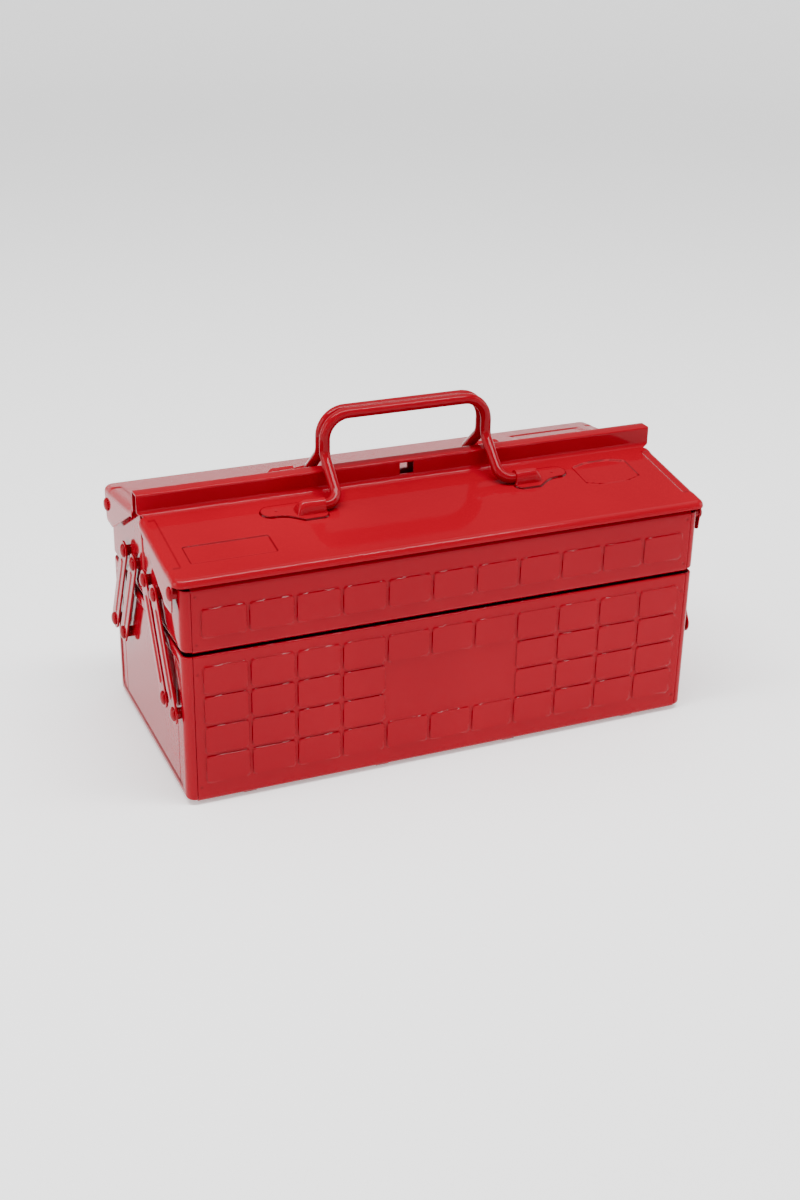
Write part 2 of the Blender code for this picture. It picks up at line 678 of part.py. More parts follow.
def upstand_section():
    """Rear lid's upstand behind the hood's lip, written with the lid on the front side."""
    wall_y = UPSTAND_Y + SHEET
    return [*flare_section(wall_y), (-wall_y, RIDGE_TOP - UPSTAND_TOP_DROP)]


def add_ridge(bm, section):
    """Carry a ridge section along the lid's open side; above its foot it reaches the lid's ends."""
    foot_x = LID_END_X - LID_EDGE_RADIUS
    rows = [[(-foot_x, *section[0]), (foot_x, *section[0])]]
    rows += [[(-LID_END_X, y, z), (LID_END_X, y, z)] for y, z in section[1:]]
    loft(bm, rows)


def build_lid(side, axis, rear):
    """One lid: slope, rolled edges, ears, and its hood or upstand, with rivet and padlock holes."""
    bm = lid_shell()
    add_ridge(bm, upstand_section() if rear else hood_section())
    face_away(bm, (0, -HALF_DEPTH / 2, TRAY_FLOOR))
    mirror_mesh(bm, False, rear)
    made = sheet_piece(f"{side}_lid", bm, axis, SHEET_PAINT)
    sign_y = 1 if rear else -1
    holes = [(sign_x * LID_END_X, sign_y * PIVOT_Y, PIVOT_Z, PIVOT_HOLE) for sign_x in (-1, 1)]
    cut(made, drills_along_x(f"{side}_lid_rivet_holes", holes, LID_DRILL_LENGTH), "rivet holes")
    reach = UPSTAND_Y + 2 * SHEET + RIDGE_FOOT
    low = (-PADLOCK_WIDTH / 2, -reach, PADLOCK_TOP - PADLOCK_HEIGHT)
    high = (PADLOCK_WIDTH / 2, reach, PADLOCK_TOP)
    cut(made, box_helper(f"{side}_lid_padlock_cut", low, high), "padlock hole")
    return made


# ---------------------------------------------------------------- arms and rivets
def outline_plate(name, outline, thickness, holes=()):
    """Return a mesh: a flat outline with round holes, its thickness upwards from Z = 0."""
    curve = bpy.data.curves.new(name, "CURVE")
    curve.dimensions = "2D"
    curve.fill_mode = "BOTH"
    curve.extrude = thickness / 2
    for points in [outline, *holes]:
        spline = curve.splines.new("POLY")
        spline.points.add(len(points) - 1)
        for knot, (x, y) in zip(spline.points, points):
            knot.co = (x, y, thickness / 2, 1)
        spline.use_cyclic_u = True
    return curve_mesh(name, curve)


def curve_mesh(name, curve):
    """Turn a curve into a welded mesh."""
    shape = bpy.data.objects.new(f"{name}_curve", curve)
    HELPERS.objects.link(shape)
    bpy.context.view_layer.update()
    graph = bpy.context.evaluated_depsgraph_get()
    mesh = bpy.data.meshes.new_from_object(shape.evaluated_get(graph))
    mesh.name = name
    bpy.data.objects.remove(shape, do_unlink=True)
    bm = bmesh.new()
    bm.from_mesh(mesh)
    bmesh.ops.remove_doubles(bm, verts=bm.verts[:], dist=WELD)
    bmesh.ops.recalc_face_normals(bm, faces=bm.faces[:])
    bm.to_mesh(mesh)
    bm.free()
    return mesh


def circle(centre, radius):
    """Return a hole's outline."""
    return arc(centre, radius, 0, 360 - 360 / HOLE_SIDES, HOLE_SIDES - 1)


def stadium(a, b, radius, steps=6):
    """Outline of a bar with round ends between two points."""
    heading = math.degrees(math.atan2(b[1] - a[1], b[0] - a[0]))
    return arc(a, radius, heading + 90, heading + 270, steps) + arc(
        b, radius, heading - 90, heading + 90, steps
    )


def between(a, b, distance):
    """Point on the line from a to b, at a distance from a."""
    length = math.dist(a, b)
    return tuple(p + (q - p) * distance / length for p, q in zip(a, b))


def build_arm(name, foot_y, upper_hole, axis, right, rear):
    """One pressed arm with its stiffening rib; its origin is its lower pivot."""
    foot = (0.0, 0.0)
    lean = ARM_LEAN_Y if not rear else -ARM_LEAN_Y
    head = (lean, ARM_RISE)
    holes = [circle(foot, PIVOT_HOLE), circle(head, upper_hole)]
    plate = outline_plate(name, stadium(foot, head, ARM_WIDTH / 2), ARM_SHEET, holes)
    rib_ends = (between(foot, head, ARM_RIB_MARGIN), between(head, foot, ARM_RIB_MARGIN))
    rib_outline = stadium(*rib_ends, ARM_RIB_WIDTH / 2, 4)
    rib = outline_plate(f"{name}_rib", rib_outline, ARM_SHEET / 2 + ARM_RIB_RISE)
    shift_mesh(rib, (0, 0, ARM_SHEET / 2))
    turn = Euler((math.pi / 2, 0, math.pi / 2)).to_matrix().to_4x4()
    sign = 1 if right else -1
    outward = Matrix.Diagonal((sign, 1, 1, 1)) @ turn
    for mesh in (plate, rib):
        mesh.transform(outward)
        if not right:
            mesh.flip_normals()
    made = add_object(name, plate, PARTS, SHEET_PAINT)
    place = (sign * (HALF_LENGTH + ARM_STANDOFF), foot_y, ARM_FOOT_Z)
    hang(made, place, axis)
    raised = add_object(f"{name}_rib", rib, HELPERS)
    raised.location = place
    hide_helper(raised)
    join(made, raised, "rib")
    return made


def rivet_mesh(name, seat, grip_from, grip):
    """Turned rivet along +Z: tail inside, shoulder from the seat to grip_from, head past grip.

    seat is the panel's outer face, grip_from the held sheet's near face and grip its thickness.
    """
    tail_top = seat - SHEET - RIVET_GAP
    shoulder = (seat + RIVET_GAP, grip_from - RIVET_GAP)
    head = grip_from + grip + RIVET_GAP
    profile = [
        *[(RIVET_HEAD * out, head + RIVET_DOME * up) for out, up in RIVET_CROWN],
        (RIVET_SHANK, head),
        (RIVET_SHANK, shoulder[1]),
        (RIVET_SHOULDER, shoulder[1]),
        (RIVET_SHOULDER, shoulder[0]),
        (RIVET_SHANK, shoulder[0]),
        (RIVET_SHANK, tail_top),
        (RIVET_TAIL, tail_top),
        (RIVET_TAIL, tail_top - RIVET_TAIL_HEIGHT),
        (0.0, tail_top - RIVET_TAIL_HEIGHT),
    ]
    mesh = bpy.data.meshes.new(name)
    mesh.from_pydata([(r, 0, z) for r, z in profile], [(i, i + 1) for i in range(len(profile) - 1)], [])
    return mesh


def build_rivet(name, mesh, y, z, axis, right):
    """One rivet, its axis along X and its head outside."""
    made = add_object(name, mesh, PARTS)
    sign = 1 if right else -1
    hang(made, (sign * HALF_LENGTH, y, z), axis)
    made.rotation_euler = (0, sign * math.pi / 2, 0)
    turned = made.modifiers.new("turned", "SCREW")
    turned.steps = RIVET_SIDES
    turned.render_steps = RIVET_SIDES
    turned.use_merge_vertices = True
    turned.merge_threshold = WELD
    turned.use_smooth_shade = True
    return made


# ---------------------------------------------------------------- handles and their brackets
def hinge_frame(rear):
    """Return a handle axis's height and distance from the middle, and the lid's tilt there."""
    y = HANDLE_PIVOT_Y
    z = lid_z(y) + HANDLE_PIVOT_HEIGHT / math.cos(LID_SLOPE)
    sign = 1 if rear else -1
    return sign * y, z, -sign * LID_SLOPE


def rounded_path(corners, steps=4):
    """Round each inner corner of a 3D polyline; corners are (point, radius)."""
    points = [Vector(corners[0][0])]
    for (before, _), (corner, radius), (after, _) in zip(corners, corners[1:], corners[2:]):
        corner = Vector(corner)
        arriving = (corner - Vector(before)).normalized()
        leaving = (Vector(after) - corner).normalized()
        half = arriving.angle(leaving) / 2
        inward = (leaving - arriving).normalized()
        along = (arriving + leaving).normalized()
        centre = corner + inward * (radius / math.cos(half))
        for i in range(steps + 1):
            swing = half * (2 * i / steps - 1)
            out = inward * -math.cos(swing) + along * math.sin(swing)
            points.append(centre + out * radius)
    points.append(Vector(corners[-1][0]))
    return points


def handle_corners(rear):
    """Corners of half a bail, from the rod's end in its bracket up to the middle of the grip."""
    y, z, _ = hinge_frame(rear)
    grip_y = HANDLE_Y if rear else -HANDLE_Y
    grip_z = z + HANDLE_GRIP_RISE
    return [
        ((TUNNEL[1] - TUNNEL_WALL - TUNNEL_PLAY, y, z), 0),
        ((HANDLE_SPAN, y, z), HANDLE_FOOT_RADIUS),
        ((HANDLE_SPAN, grip_y, z + HANDLE_KINK_RISE), HANDLE_KINK_RADIUS),
        ((HANDLE_SPAN, grip_y, grip_z), HANDLE_CORNER),
        ((0, grip_y, grip_z), 0),
    ]


def build_handle(name, rear, axis):
    """One round-rod bail, its origin on its hinge axis."""
    half = rounded_path(handle_corners(rear))
    y, z, _ = hinge_frame(rear)
    points = half + [Vector((-p.x, p.y, p.z)) for p in reversed(half[:-1])]
    curve = bpy.data.curves.new(name, "CURVE")
    curve.dimensions = "3D"
    curve.bevel_depth = BAR_RADIUS
    curve.bevel_resolution = 3
    curve.use_fill_caps = True
    spline = curve.splines.new("POLY")
    spline.points.add(len(points) - 1)
    for knot, point in zip(spline.points, points):
        knot.co = (point.x, point.y - y, point.z - z, 1)
    made = bpy.data.objects.new(name, curve)
    PARTS.objects.link(made)
    curve.materials.append(ROD_PAINT)
    hang(made, (0, y, z), axis)
    return made


def bracket_outline():
    """Right-hand bracket's plate: body under the tunnel and a rounded tab; +Y is to the ridge."""
    tab_low = BRACKET_TAB_OFFSET - BRACKET_TAB_RADIUS
    tab_high = BRACKET_TAB_OFFSET + BRACKET_TAB_RADIUS
    corner_x, corner_y = BRACKET_CORNER
    nose = arc((BRACKET_TAB_CENTRE, BRACKET_TAB_OFFSET), BRACKET_TAB_RADIUS, -90, 90, 6)
    return [
        (BRACKET_START, tab_high),
        (BRACKET_START, corner_y - BRACKET_LOBE),
        (BRACKET_START + corner_x, -BRACKET_LOBE),
        (BRACKET_BODY_END - corner_x, -BRACKET_LOBE),
        (BRACKET_BODY_END, corner_y - BRACKET_LOBE),
        (BRACKET_BODY_END + BRACKET_WAIST, tab_low),
        *nose,
    ]


def build_bracket(name, right, rear, axis):
    """Escutcheon with a pressed tunnel that holds the rod's end."""
    y, z, tilt = hinge_frame(rear)
    lid_below = -HANDLE_PIVOT_HEIGHT
    plate = outline_plate(name, bracket_outline(), BRACKET_PLATE)
    shift_mesh(plate, (0, 0, lid_below + BRACKET_GAP))
    flip = Matrix.Diagonal((1 if right else -1, -1 if rear else 1, 1, 1))
    turn = Euler((tilt, 0, 0)).to_matrix().to_4x4()
    plate.transform(turn @ flip)
    if right == rear:
        plate.flip_normals()
    made = add_object(name, plate, PARTS, SHEET_PAINT)
    hang(made, (0, y, z), axis)
    sign = 1 if right else -1
    room = BAR_RADIUS + TUNNEL_PLAY
    place = ((0, y, z), tilt)
    arch = lying_rod(f"{name}_arch", room + TUNNEL_WALL, TUNNEL, sign, place)
    ends = sorted(sign * (x + past) for x, past in zip(TUNNEL, (-CUT_PAST, CUT_PAST)))
    below = box_helper(
        f"{name}_below",
        (ends[0], -FOOT_CUT, lid_below - FOOT_CUT),
        (ends[1], FOOT_CUT, lid_below + BRACKET_GAP + BRACKET_PLATE / 2),
    )
    lean_helper(below, *place)
    cut(arch, below, "flat foot")
    join(made, arch, "tunnel")
    bore = lying_rod(f"{name}_bore", room, (BRACKET_START - CUT_PAST, TUNNEL[1] - TUNNEL_WALL), sign, place)
    cut(made, bore, "rod's room")


def lean_helper(made, point, tilt):
    """Set a helper on a handle's axis, leaning with the lid."""
    made.location = point
    made.rotation_euler = (tilt, 0, 0)


def lying_rod(name, radius, span, sign, place):
    """Return a hidden cylinder along X over a span, on the right when sign is +1."""
    bm = bmesh.new()
    turn = Euler((0, math.pi / 2, 0)).to_matrix().to_4x4()
    along = Matrix.Translation((sign * sum(span) / 2, 0, 0)) @ turn
    add_rod(bm, radius, span[1] - span[0], ROD_SIDES, along)
    made = helper_from(name, bm)
    lean_helper(made, *place)
    return made


# ---------------------------------------------------------------- the whole box
def build_base():
    """Base sheet and its two ends."""
    axis = add_axis("base_axis", (0, 0, 0))
    build_base_sheet(axis)
    build_base_end("left", False, axis)
    build_base_end("right", True, axis)
    foot_rivet = rivet_mesh("foot_rivet", -PANEL_SINK, ARM_STANDOFF, ARM_SHEET)
    foot_rivet.materials.append(RIVET_PAINT)
    for side, way in (("front", -1), ("rear", 1)):
        for arm, foot_y in zip(("inner", "outer"), ARM_FOOT_Y):
            for end, right in (("left", False), ("right", True)):
                name = f"{side}_{arm}_foot_rivet_{end}"
                build_rivet(name, foot_rivet, way * foot_y, ARM_FOOT_Z, axis, right)
    return axis


def build_side(side, rear, base_axis):
    """One tray with its arms, lid and handle; its front twin mirrored when rear."""
    way = 1 if rear else -1
    for arm, foot_y, hole in zip(("inner", "outer"), ARM_FOOT_Y, (LOOSE_HOLE, PIVOT_HOLE)):
        arm_axis = add_axis(f"{side}_{arm}_arm_axis", (0, way * foot_y, ARM_FOOT_Z), base_axis)
        for end, right in (("left", False), ("right", True)):
            build_arm(f"{side}_{arm}_arm_{end}", way * foot_y, hole, arm_axis, right, rear)
    head_y = way * (ARM_FOOT_Y[1] - ARM_LEAN_Y)
    tray_axis = add_axis(f"{side}_tray_axis", (0, head_y, ARM_HEAD_Z), base_axis)
    build_tray_sheet(side, tray_axis, rear)
    head_rivet = rivet_mesh(f"{side}_head_rivet", 0, ARM_STANDOFF, ARM_SHEET)
    lid_rivet = rivet_mesh(f"{side}_lid_rivet", 0, LID_OVERHANG - SHEET, SHEET)
    for mesh in (head_rivet, lid_rivet):
        mesh.materials.append(RIVET_PAINT)
    for end, right in (("left", False), ("right", True)):
        build_tray_end(side, end, right, tray_axis, rear)
        for arm, foot_y in zip(("inner", "outer"), ARM_FOOT_Y):
            name = f"{side}_{arm}_head_rivet_{end}"
            build_rivet(name, head_rivet, way * (foot_y - ARM_LEAN_Y), ARM_HEAD_Z, tray_axis, right)
        build_rivet(f"{side}_lid_rivet_{end}", lid_rivet, way * PIVOT_Y, PIVOT_Z, tray_axis, right)
    lid_axis = add_axis(f"{side}_lid_axis", (0, way * PIVOT_Y, PIVOT_Z), tray_axis)
    build_lid(side, lid_axis, rear)
    y, z, _ = hinge_frame(rear)
    for end, right in (("left", False), ("right", True)):
        build_bracket(f"{side}_handle_bracket_{end}", right, rear, lid_axis)
    handle_axis = add_axis(f"{side}_handle_axis", (0, y, z), lid_axis)
    build_handle(f"{side}_handle", rear, handle_axis)


clear_scene()
PARTS = new_collection("cantilever_tool_box")
HELPERS = new_collection("cutters")
SHEET_PAINT = painted("red_sheet_paint", RED_SHEET, 0.18)
ROD_PAINT = painted("red_rod_paint", RED_ROD, 0.20)
RIVET_PAINT = painted("red_rivet_paint", RED_RIVET, 0.22)
BASE_AXIS = build_base()
build_side("front", False, BASE_AXIS)
build_side("rear", True, BASE_AXIS)
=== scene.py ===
"""Looks of a two-stage cantilever tool box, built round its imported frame.

Each pressed sheet, arm, rivet, bracket and rod is a surface worked out on a grid of two
parameters, dressed in glossy stoved paint, and it rides on the frame's own moving bodies.
Units are metres, +Z is up, +X runs along the box and -Y is its front.
"""

from __future__ import annotations

import logging
import math
from collections.abc import Mapping, Sequence
from dataclasses import dataclass, field
from enum import Enum
from typing import ClassVar

import bmesh
import bpy
import numpy as np
from mathutils import Matrix, Vector

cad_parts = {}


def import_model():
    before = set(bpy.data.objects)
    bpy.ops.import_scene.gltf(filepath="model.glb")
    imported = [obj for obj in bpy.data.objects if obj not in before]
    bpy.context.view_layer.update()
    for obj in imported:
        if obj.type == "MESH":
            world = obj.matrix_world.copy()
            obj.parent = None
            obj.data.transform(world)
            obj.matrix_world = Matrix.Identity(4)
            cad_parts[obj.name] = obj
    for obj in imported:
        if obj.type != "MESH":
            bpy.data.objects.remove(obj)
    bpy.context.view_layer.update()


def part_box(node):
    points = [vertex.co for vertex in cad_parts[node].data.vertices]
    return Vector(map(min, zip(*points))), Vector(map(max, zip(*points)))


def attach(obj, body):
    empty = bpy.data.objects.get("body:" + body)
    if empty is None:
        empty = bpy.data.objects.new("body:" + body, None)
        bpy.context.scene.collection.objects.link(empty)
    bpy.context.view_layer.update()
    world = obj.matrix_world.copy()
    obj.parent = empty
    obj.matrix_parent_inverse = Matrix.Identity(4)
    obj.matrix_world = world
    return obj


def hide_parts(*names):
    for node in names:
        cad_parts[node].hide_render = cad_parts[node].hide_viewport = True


LOG = logging.getLogger("tool_box")
SHEET = 0.0008  # thickness of the pressed sheets
WELD = 2e-5  # points closer than this become one
TOUCH_GAP = 0.0003  # left between sheets that are welded to each other
FULL_WHITE = (1.0, 1.0, 1.0, 1.0)

Pair = tuple[float, float]
Triple = tuple[float, float, float]
Colour = tuple[float, float, float, float]
Plan = tuple[np.ndarray, np.ndarray, np.ndarray]


class Side(Enum):
    """Which half of the box a piece belongs to; the value is its way along Y."""

    FRONT = -1
    REAR = 1

    @property
    def word(self) -> str:
        """The side's name in the frame's node and body names."""
        return self.name.lower()

    @property
    def mirror(self) -> np.ndarray:
        """Factors that turn a point worked out on the front side into one on this side."""
        return np.array([1.0, -self.value, 1.0])


class End(Enum):
    """Which end of the box a piece belongs to; the value is its way along X."""

    LEFT = -1
    RIGHT = 1

    @property
    def word(self) -> str:
        """The end's name in the frame's node names."""
        return self.name.lower()


# ---------------------------------------------------------------- arrays and curves
def smooth(t: np.ndarray) -> np.ndarray:
    """Ease from 0 to 1: three t squared less two t cubed, held outside 0 to 1.

    Args:
        t: Any array.

    Returns:
        The eased array.
    """
    held = np.clip(t, 0.0, 1.0)
    return held * held * (3.0 - 2.0 * held)


def press(distance: np.ndarray, slope: float) -> np.ndarray:
    """Height share of a pressed step: 1 inside its outline, 0 outside, eased over its slope.

    Args:
        distance: Signed distance to the outline, negative inside.
        slope: Width of the step, centred on the outline.

    Returns:
        The share at each point.
    """
    return smooth(0.5 - distance / slope)


def rounded_box(x: np.ndarray, y: np.ndarray, half: Pair, radius: float) -> np.ndarray:
    """Signed distance to a rounded rectangle centred on the origin.

    The distance to the rectangle shrunk by the radius, measured from its nearest corner or
    side, less the radius.

    Args:
        x: First coordinates.
        y: Second coordinates.
        half: Half sizes along x and y.
        radius: Corner radius.

    Returns:
        The distance at each point, negative inside.
    """
    out_x = np.abs(x) - half[0] + radius
    out_y = np.abs(y) - half[1] + radius
    outside = np.hypot(np.maximum(out_x, 0.0), np.maximum(out_y, 0.0))
    return outside + np.minimum(np.maximum(out_x, out_y), 0.0) - radius


def stations(
    low: float, high: float, marks: Sequence[float], offsets: Sequence[float], coarse: float
) -> np.ndarray:
    """Places along a line: an even spread, and a cluster round each mark.

    Args:
        low: First place.
        high: Last place.
        marks: Where detail needs close places.
        offsets: Places relative to each mark.
        coarse: Spacing of the even spread.

    Returns:
        Rising places from low to high.
    """
    even = np.linspace(low, high, max(2, int((high - low) / coarse) + 1))
    close = (np.asarray(marks, float)[:, None] + np.asarray(offsets, float)[None, :]).ravel()
    if close.size:
        away = np.abs(even[:, None] - close[None, :]).min(axis=1) > abs(coarse) * 0.25
        away[[0, -1]] = True
        even = even[away]
    close = close[(close > low + 1e-4) & (close < high - 1e-4)]
    return np.unique(np.round(np.concatenate([even, close]), 6))


def apart(places: np.ndarray, least: float) -> np.ndarray:
    """Drop each place that follows the one before it too closely.

    Args:
        places: Rising places.
        least: Smallest step that is kept.

    Returns:
        The places kept.
    """
    return places[np.concatenate([[True], np.diff(places) > least])]


def turn(centre: Pair, radius: float, start: float, end: float, steps: int) -> np.ndarray:
    """Points of an arc: the centre plus the radius along evenly spaced headings.

    Args:
        centre: Middle of the arc.
        radius: Its radius.
        start: First heading in degrees.
        end: Last heading in degrees.
        steps: Number of chords.

    Returns:
        Array of shape (steps + 1, 2).
    """
    heading = np.radians(np.linspace(start, end, steps + 1))
    return np.stack([centre[0] + radius * np.cos(heading), centre[1] + radius * np.sin(heading)], axis=-1)


def run(first: Pair, last: Pair, shares: Sequence[float]) -> np.ndarray:
    """Points of a straight run: first plus each share of the way to last.

    Args:
        first: Start of the run.
        last: End of the run.
        shares: Shares of the way.

    Returns:
        Array of shape (len(shares), 2).
    """
    share = np.asarray(shares, float)[:, None]
    return np.asarray(first) * (1.0 - share) + np.asarray(last) * share


def rounded_route(corners: Sequence[tuple[Vector, float]], steps: int = 20) -> np.ndarray:
    """Round each inner corner of a bent rod's centre line by an arc that touches both sides.

    Args:
        corners: Each corner's place and bend radius.
        steps: Chords in each bend.

    Returns:
        Array of shape (points, 3).
    """
    parts = [np.array(corners[0][0])[None, :]]
    for (before, _), (corner, radius), (after, _) in zip(corners, corners[1:], corners[2:]):
        arriving = (corner - before).normalized()
        leaving = (after - corner).normalized()
        half = arriving.angle(leaving) / 2
        inward = (leaving - arriving).normalized()
        along = (arriving + leaving).normalized()
        swing = half * np.linspace(-1.0, 1.0, steps + 1)[:, None]
        middle = np.array(corner + inward * (radius / math.cos(half)))
        bent = np.sin(swing) * np.array(along) - np.cos(swing) * np.array(inward)
        parts.append(middle + radius * bent)
    parts.append(np.array(corners[-1][0])[None, :])
    return np.concatenate(parts)


# ---------------------------------------------------------------- meshes
@dataclass
class Patch:
    """One grid of a surface.

    Attributes:
        points: Shape (rows, columns, 3).
        pooled: Share of painted shade at each point, darkening creases, grooves and seams where shade
            falls, shape (rows, columns).
        gap: Faces left out, shape (rows - 1, columns - 1).
    """

    points: np.ndarray
    pooled: np.ndarray | None = None
    gap: np.ndarray | None = None

    def faces(self, start: int) -> np.ndarray:
        """Corner indices of the grid's quads.

        Args:
            start: Index of the patch's first point.

        Returns:
            Array of shape (faces, 4).
        """
        rows, columns = self.points.shape[:2]
        index = start + np.arange(rows * columns).reshape(rows, columns)
        quads = np.stack([index[:-1, :-1], index[:-1, 1:], index[1:, 1:], index[1:, :-1]], axis=-1)
        kept = np.ones(quads.shape[:2], bool) if self.gap is None else ~self.gap
        return quads[kept]


def mesh_of(name: str, patches: Sequence[Patch]) -> bpy.types.Mesh:
    """Put grids into one mesh, with their painted shade as a point attribute.

    Args:
        name: Name of the mesh.
        patches: The grids.

    Returns:
        The mesh, not yet welded.
    """
    starts = np.cumsum([0] + [patch.points.shape[0] * patch.points.shape[1] for patch in patches])
    points = np.concatenate([patch.points.reshape(-1, 3) for patch in patches])
    quads = np.concatenate([patch.faces(int(start)) for patch, start in zip(patches, starts)])
    pooled = [
        np.zeros(patch.points.shape[:2]) if patch.pooled is None else patch.pooled for patch in patches
    ]
    mesh = bpy.data.meshes.new(name)
    mesh.vertices.add(len(points))
    mesh.vertices.foreach_set("co", points.astype(np.float32).ravel())
    mesh.loops.add(quads.size)
    mesh.loops.foreach_set("vertex_index", quads.astype(np.int32).ravel())
    mesh.polygons.add(len(quads))
    mesh.polygons.foreach_set("loop_start", np.arange(0, quads.size, 4, dtype=np.int32))
    layer = mesh.attributes.new("pooled", "FLOAT", "POINT")
    layer.data.foreach_set("value", np.concatenate([part.ravel() for part in pooled]).astype(np.float32))
    mesh.update(calc_edges=True)
    mesh.validate()
    return mesh


def weld(mesh: bpy.types.Mesh, inside: Vector | None) -> None:
    """Merge doubles and turn the faces one way: outwards, or away from a point inside.

    Args:
        mesh: The mesh to weld.
        inside: A point that an open sheet's outer skin faces away from; None for a closed body.
    """
    work = bmesh.new()
    work.from_mesh(mesh)
    bmesh.ops.remove_doubles(work, verts=work.verts[:], dist=WELD)
    bmesh.ops.dissolve_degenerate(work, dist=WELD / 4, edges=work.edges[:])
    bmesh.ops.recalc_face_normals(work, faces=work.faces[:])
    work.normal_update()
    if inside is not None:
        score = sum((f.calc_center_median() - inside).dot(f.normal) * f.calc_area() for f in work.faces)
        if score < 0:
            bmesh.ops.reverse_faces(work, faces=work.faces[:])
    work.to_mesh(mesh)
    work.free()


def shade(mesh: bpy.types.Mesh, degrees: float = 42.0) -> None:
    """Shade smooth, with creases where faces meet more sharply than an angle.

    Args:
        mesh: The mesh to shade.
        degrees: The angle.
    """
    mesh.polygons.foreach_set("use_smooth", np.ones(len(mesh.polygons), bool))
    mesh.set_sharp_from_angle(angle=math.radians(degrees))
    mesh.update()


def give_wall(made: bpy.types.Object, thickness: float) -> None:
    """Give an open skin its sheet thickness inwards and slightly eased edges, and keep the result.

    Args:
        made: The object whose mesh is the outer skin.
        thickness: Thickness of the sheet.
    """
    wall = made.modifiers.new("wall", "SOLIDIFY")
    wall.thickness = thickness
    wall.offset = -1.0
    wall.use_even_offset = True
    eased = made.modifiers.new("eased", "BEVEL")
    eased.width = thickness * 0.22
    eased.segments = 2
    eased.limit_method = "ANGLE"
    eased.angle_limit = math.radians(62)
    bpy.context.view_layer.update()
    graph = bpy.context.evaluated_depsgraph_get()
    solid = bpy.data.meshes.new_from_object(made.evaluated_get(graph))
    made.modifiers.clear()
    old = made.data
    made.data = solid
    bpy.data.meshes.remove(old)


def add_piece(
    name: str,
    patches: Sequence[Patch],
    body: str,
    node: str,
    finish: "Paint",
    inside: Vector | None = None,
    thickness: float = 0.0,
) -> bpy.types.Object:
    """Make a piece, dress it and set it in its CAD node's stead.

    Args:
        name: Name of the piece.
        patches: Its surface.
        body: Body that it rides on.
        node: CAD node that it stands for.
        finish: Its paint.
        inside: For an open sheet, a point that its outer skin faces away from.
        thickness: For an open sheet, its thickness.

    Returns:
        The new object.
    """
    mesh = mesh_of(name, patches)
    weld(mesh, inside)
    made = bpy.data.objects.new(name, mesh)
    bpy.context.scene.collection.objects.link(made)
    if thickness:
        give_wall(made, thickness)
    shade(made.data)
    made.data.materials.clear()
    made.data.materials.append(finish.material())
    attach(made, body)
    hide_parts(node)
    LOG.info("%s rides on %s with %d faces", name, body, len(made.data.polygons))
    return made


# ---------------------------------------------------------------- shader expressions
class Signal:
    """A node socket that takes part in ordinary arithmetic."""

    def __init__(self, bench: "Bench", socket: bpy.types.NodeSocket) -> None:
        """Wrap a socket.

        Args:
            bench: The bench that the socket's node stands on.
            socket: The output to carry on with.
        """
        self.bench = bench
        self.socket = socket

    def _math(self, operation: str, *values: "Signal | float") -> "Signal":
        """Add one Math node.

        Args:
            operation: The node's operation.
            values: Its inputs in order.

        Returns:
            The result.
        """
        inputs = dict(enumerate(values))
        return self.bench.add("ShaderNodeMath", {"operation": operation}, inputs)

    def __add__(self, other: "Signal | float") -> "Signal":
        """Sum."""
        return self._math("ADD", self, other)

    def __mul__(self, other: "Signal | float") -> "Signal":
        """Product."""
        return self._math("MULTIPLY", self, other)

    def eased(self, low: float, high: float) -> "Signal":
        """Ease from 0 at low to 1 at high.

        Args:
            low: Value that gives 0.
            high: Value that gives 1.

        Returns:
            The eased signal.
        """
        settings = {"interpolation_type": "SMOOTHSTEP"}
        return self.bench.add("ShaderNodeMapRange", settings, {0: self, 1: low, 2: high, 3: 0.0, 4: 1.0})


class Bench:
    """Where one material's nodes are put together."""

    def __init__(self, name: str) -> None:
        """Start a material with an empty tree.

        Args:
            name: Name of the material.
        """
        self.material = bpy.data.materials.new(name)
        self.material.use_nodes = True
        self.tree = self.material.node_tree
        self.tree.nodes.clear()

    def add(
        self,
        kind: str,
        settings: Mapping[str, object] | None = None,
        inputs: Mapping[int | str, object] | None = None,
        output: int | str = 0,
    ) -> Signal:
        """Add one node: its settings first, then its sockets' values and links.

        Args:
            kind: The node's type.
            settings: Attributes of the node.
            inputs: Values or signals by socket.
            output: Which output to carry on with.

        Returns:
            The chosen output.
        """
        node = self.tree.nodes.new(kind)
        for key, value in (settings or {}).items():
            setattr(node, key, value)
        for key, value in (inputs or {}).items():
            if isinstance(value, Signal):
                self.tree.links.new(value.socket, node.inputs[key])
            else:
                node.inputs[key].default_value = value
        return Signal(self, node.outputs[output])

    def finish(self, shader: Signal) -> None:
        """Send a shader to the material's output.

        Args:
            shader: The shader.
        """
        out = self.tree.nodes.new("ShaderNodeOutputMaterial")
        self.tree.links.new(shader.socket, out.inputs["Surface"])

    def noise(self, vector: Signal, scale: float, detail: float = 3.0, roughness: float = 0.5) -> Signal:
        """Fractal noise over the object's own coordinates.

        Args:
            vector: Where to read it.
            scale: Waves to a metre.
            detail: Octaves.
            roughness: Weight of the finer octaves.

        Returns:
            The noise, about 0 to 1.
        """
        inputs = {"Vector": vector, "Scale": scale, "Detail": detail, "Roughness": roughness}
        return self.add("ShaderNodeTexNoise", None, inputs, 0)

    def mix(self, factor: Signal | float, first: object, second: object) -> Signal:
        """Mix two colours.

        Args:
            factor: Share of the second.
            first: Colour or signal at 0.
            second: Colour or signal at 1.

        Returns:
            The mixed colour.
        """
        return self.add("ShaderNodeMix", {"data_type": "RGBA"}, {0: factor, 6: first, 7: second}, 2)


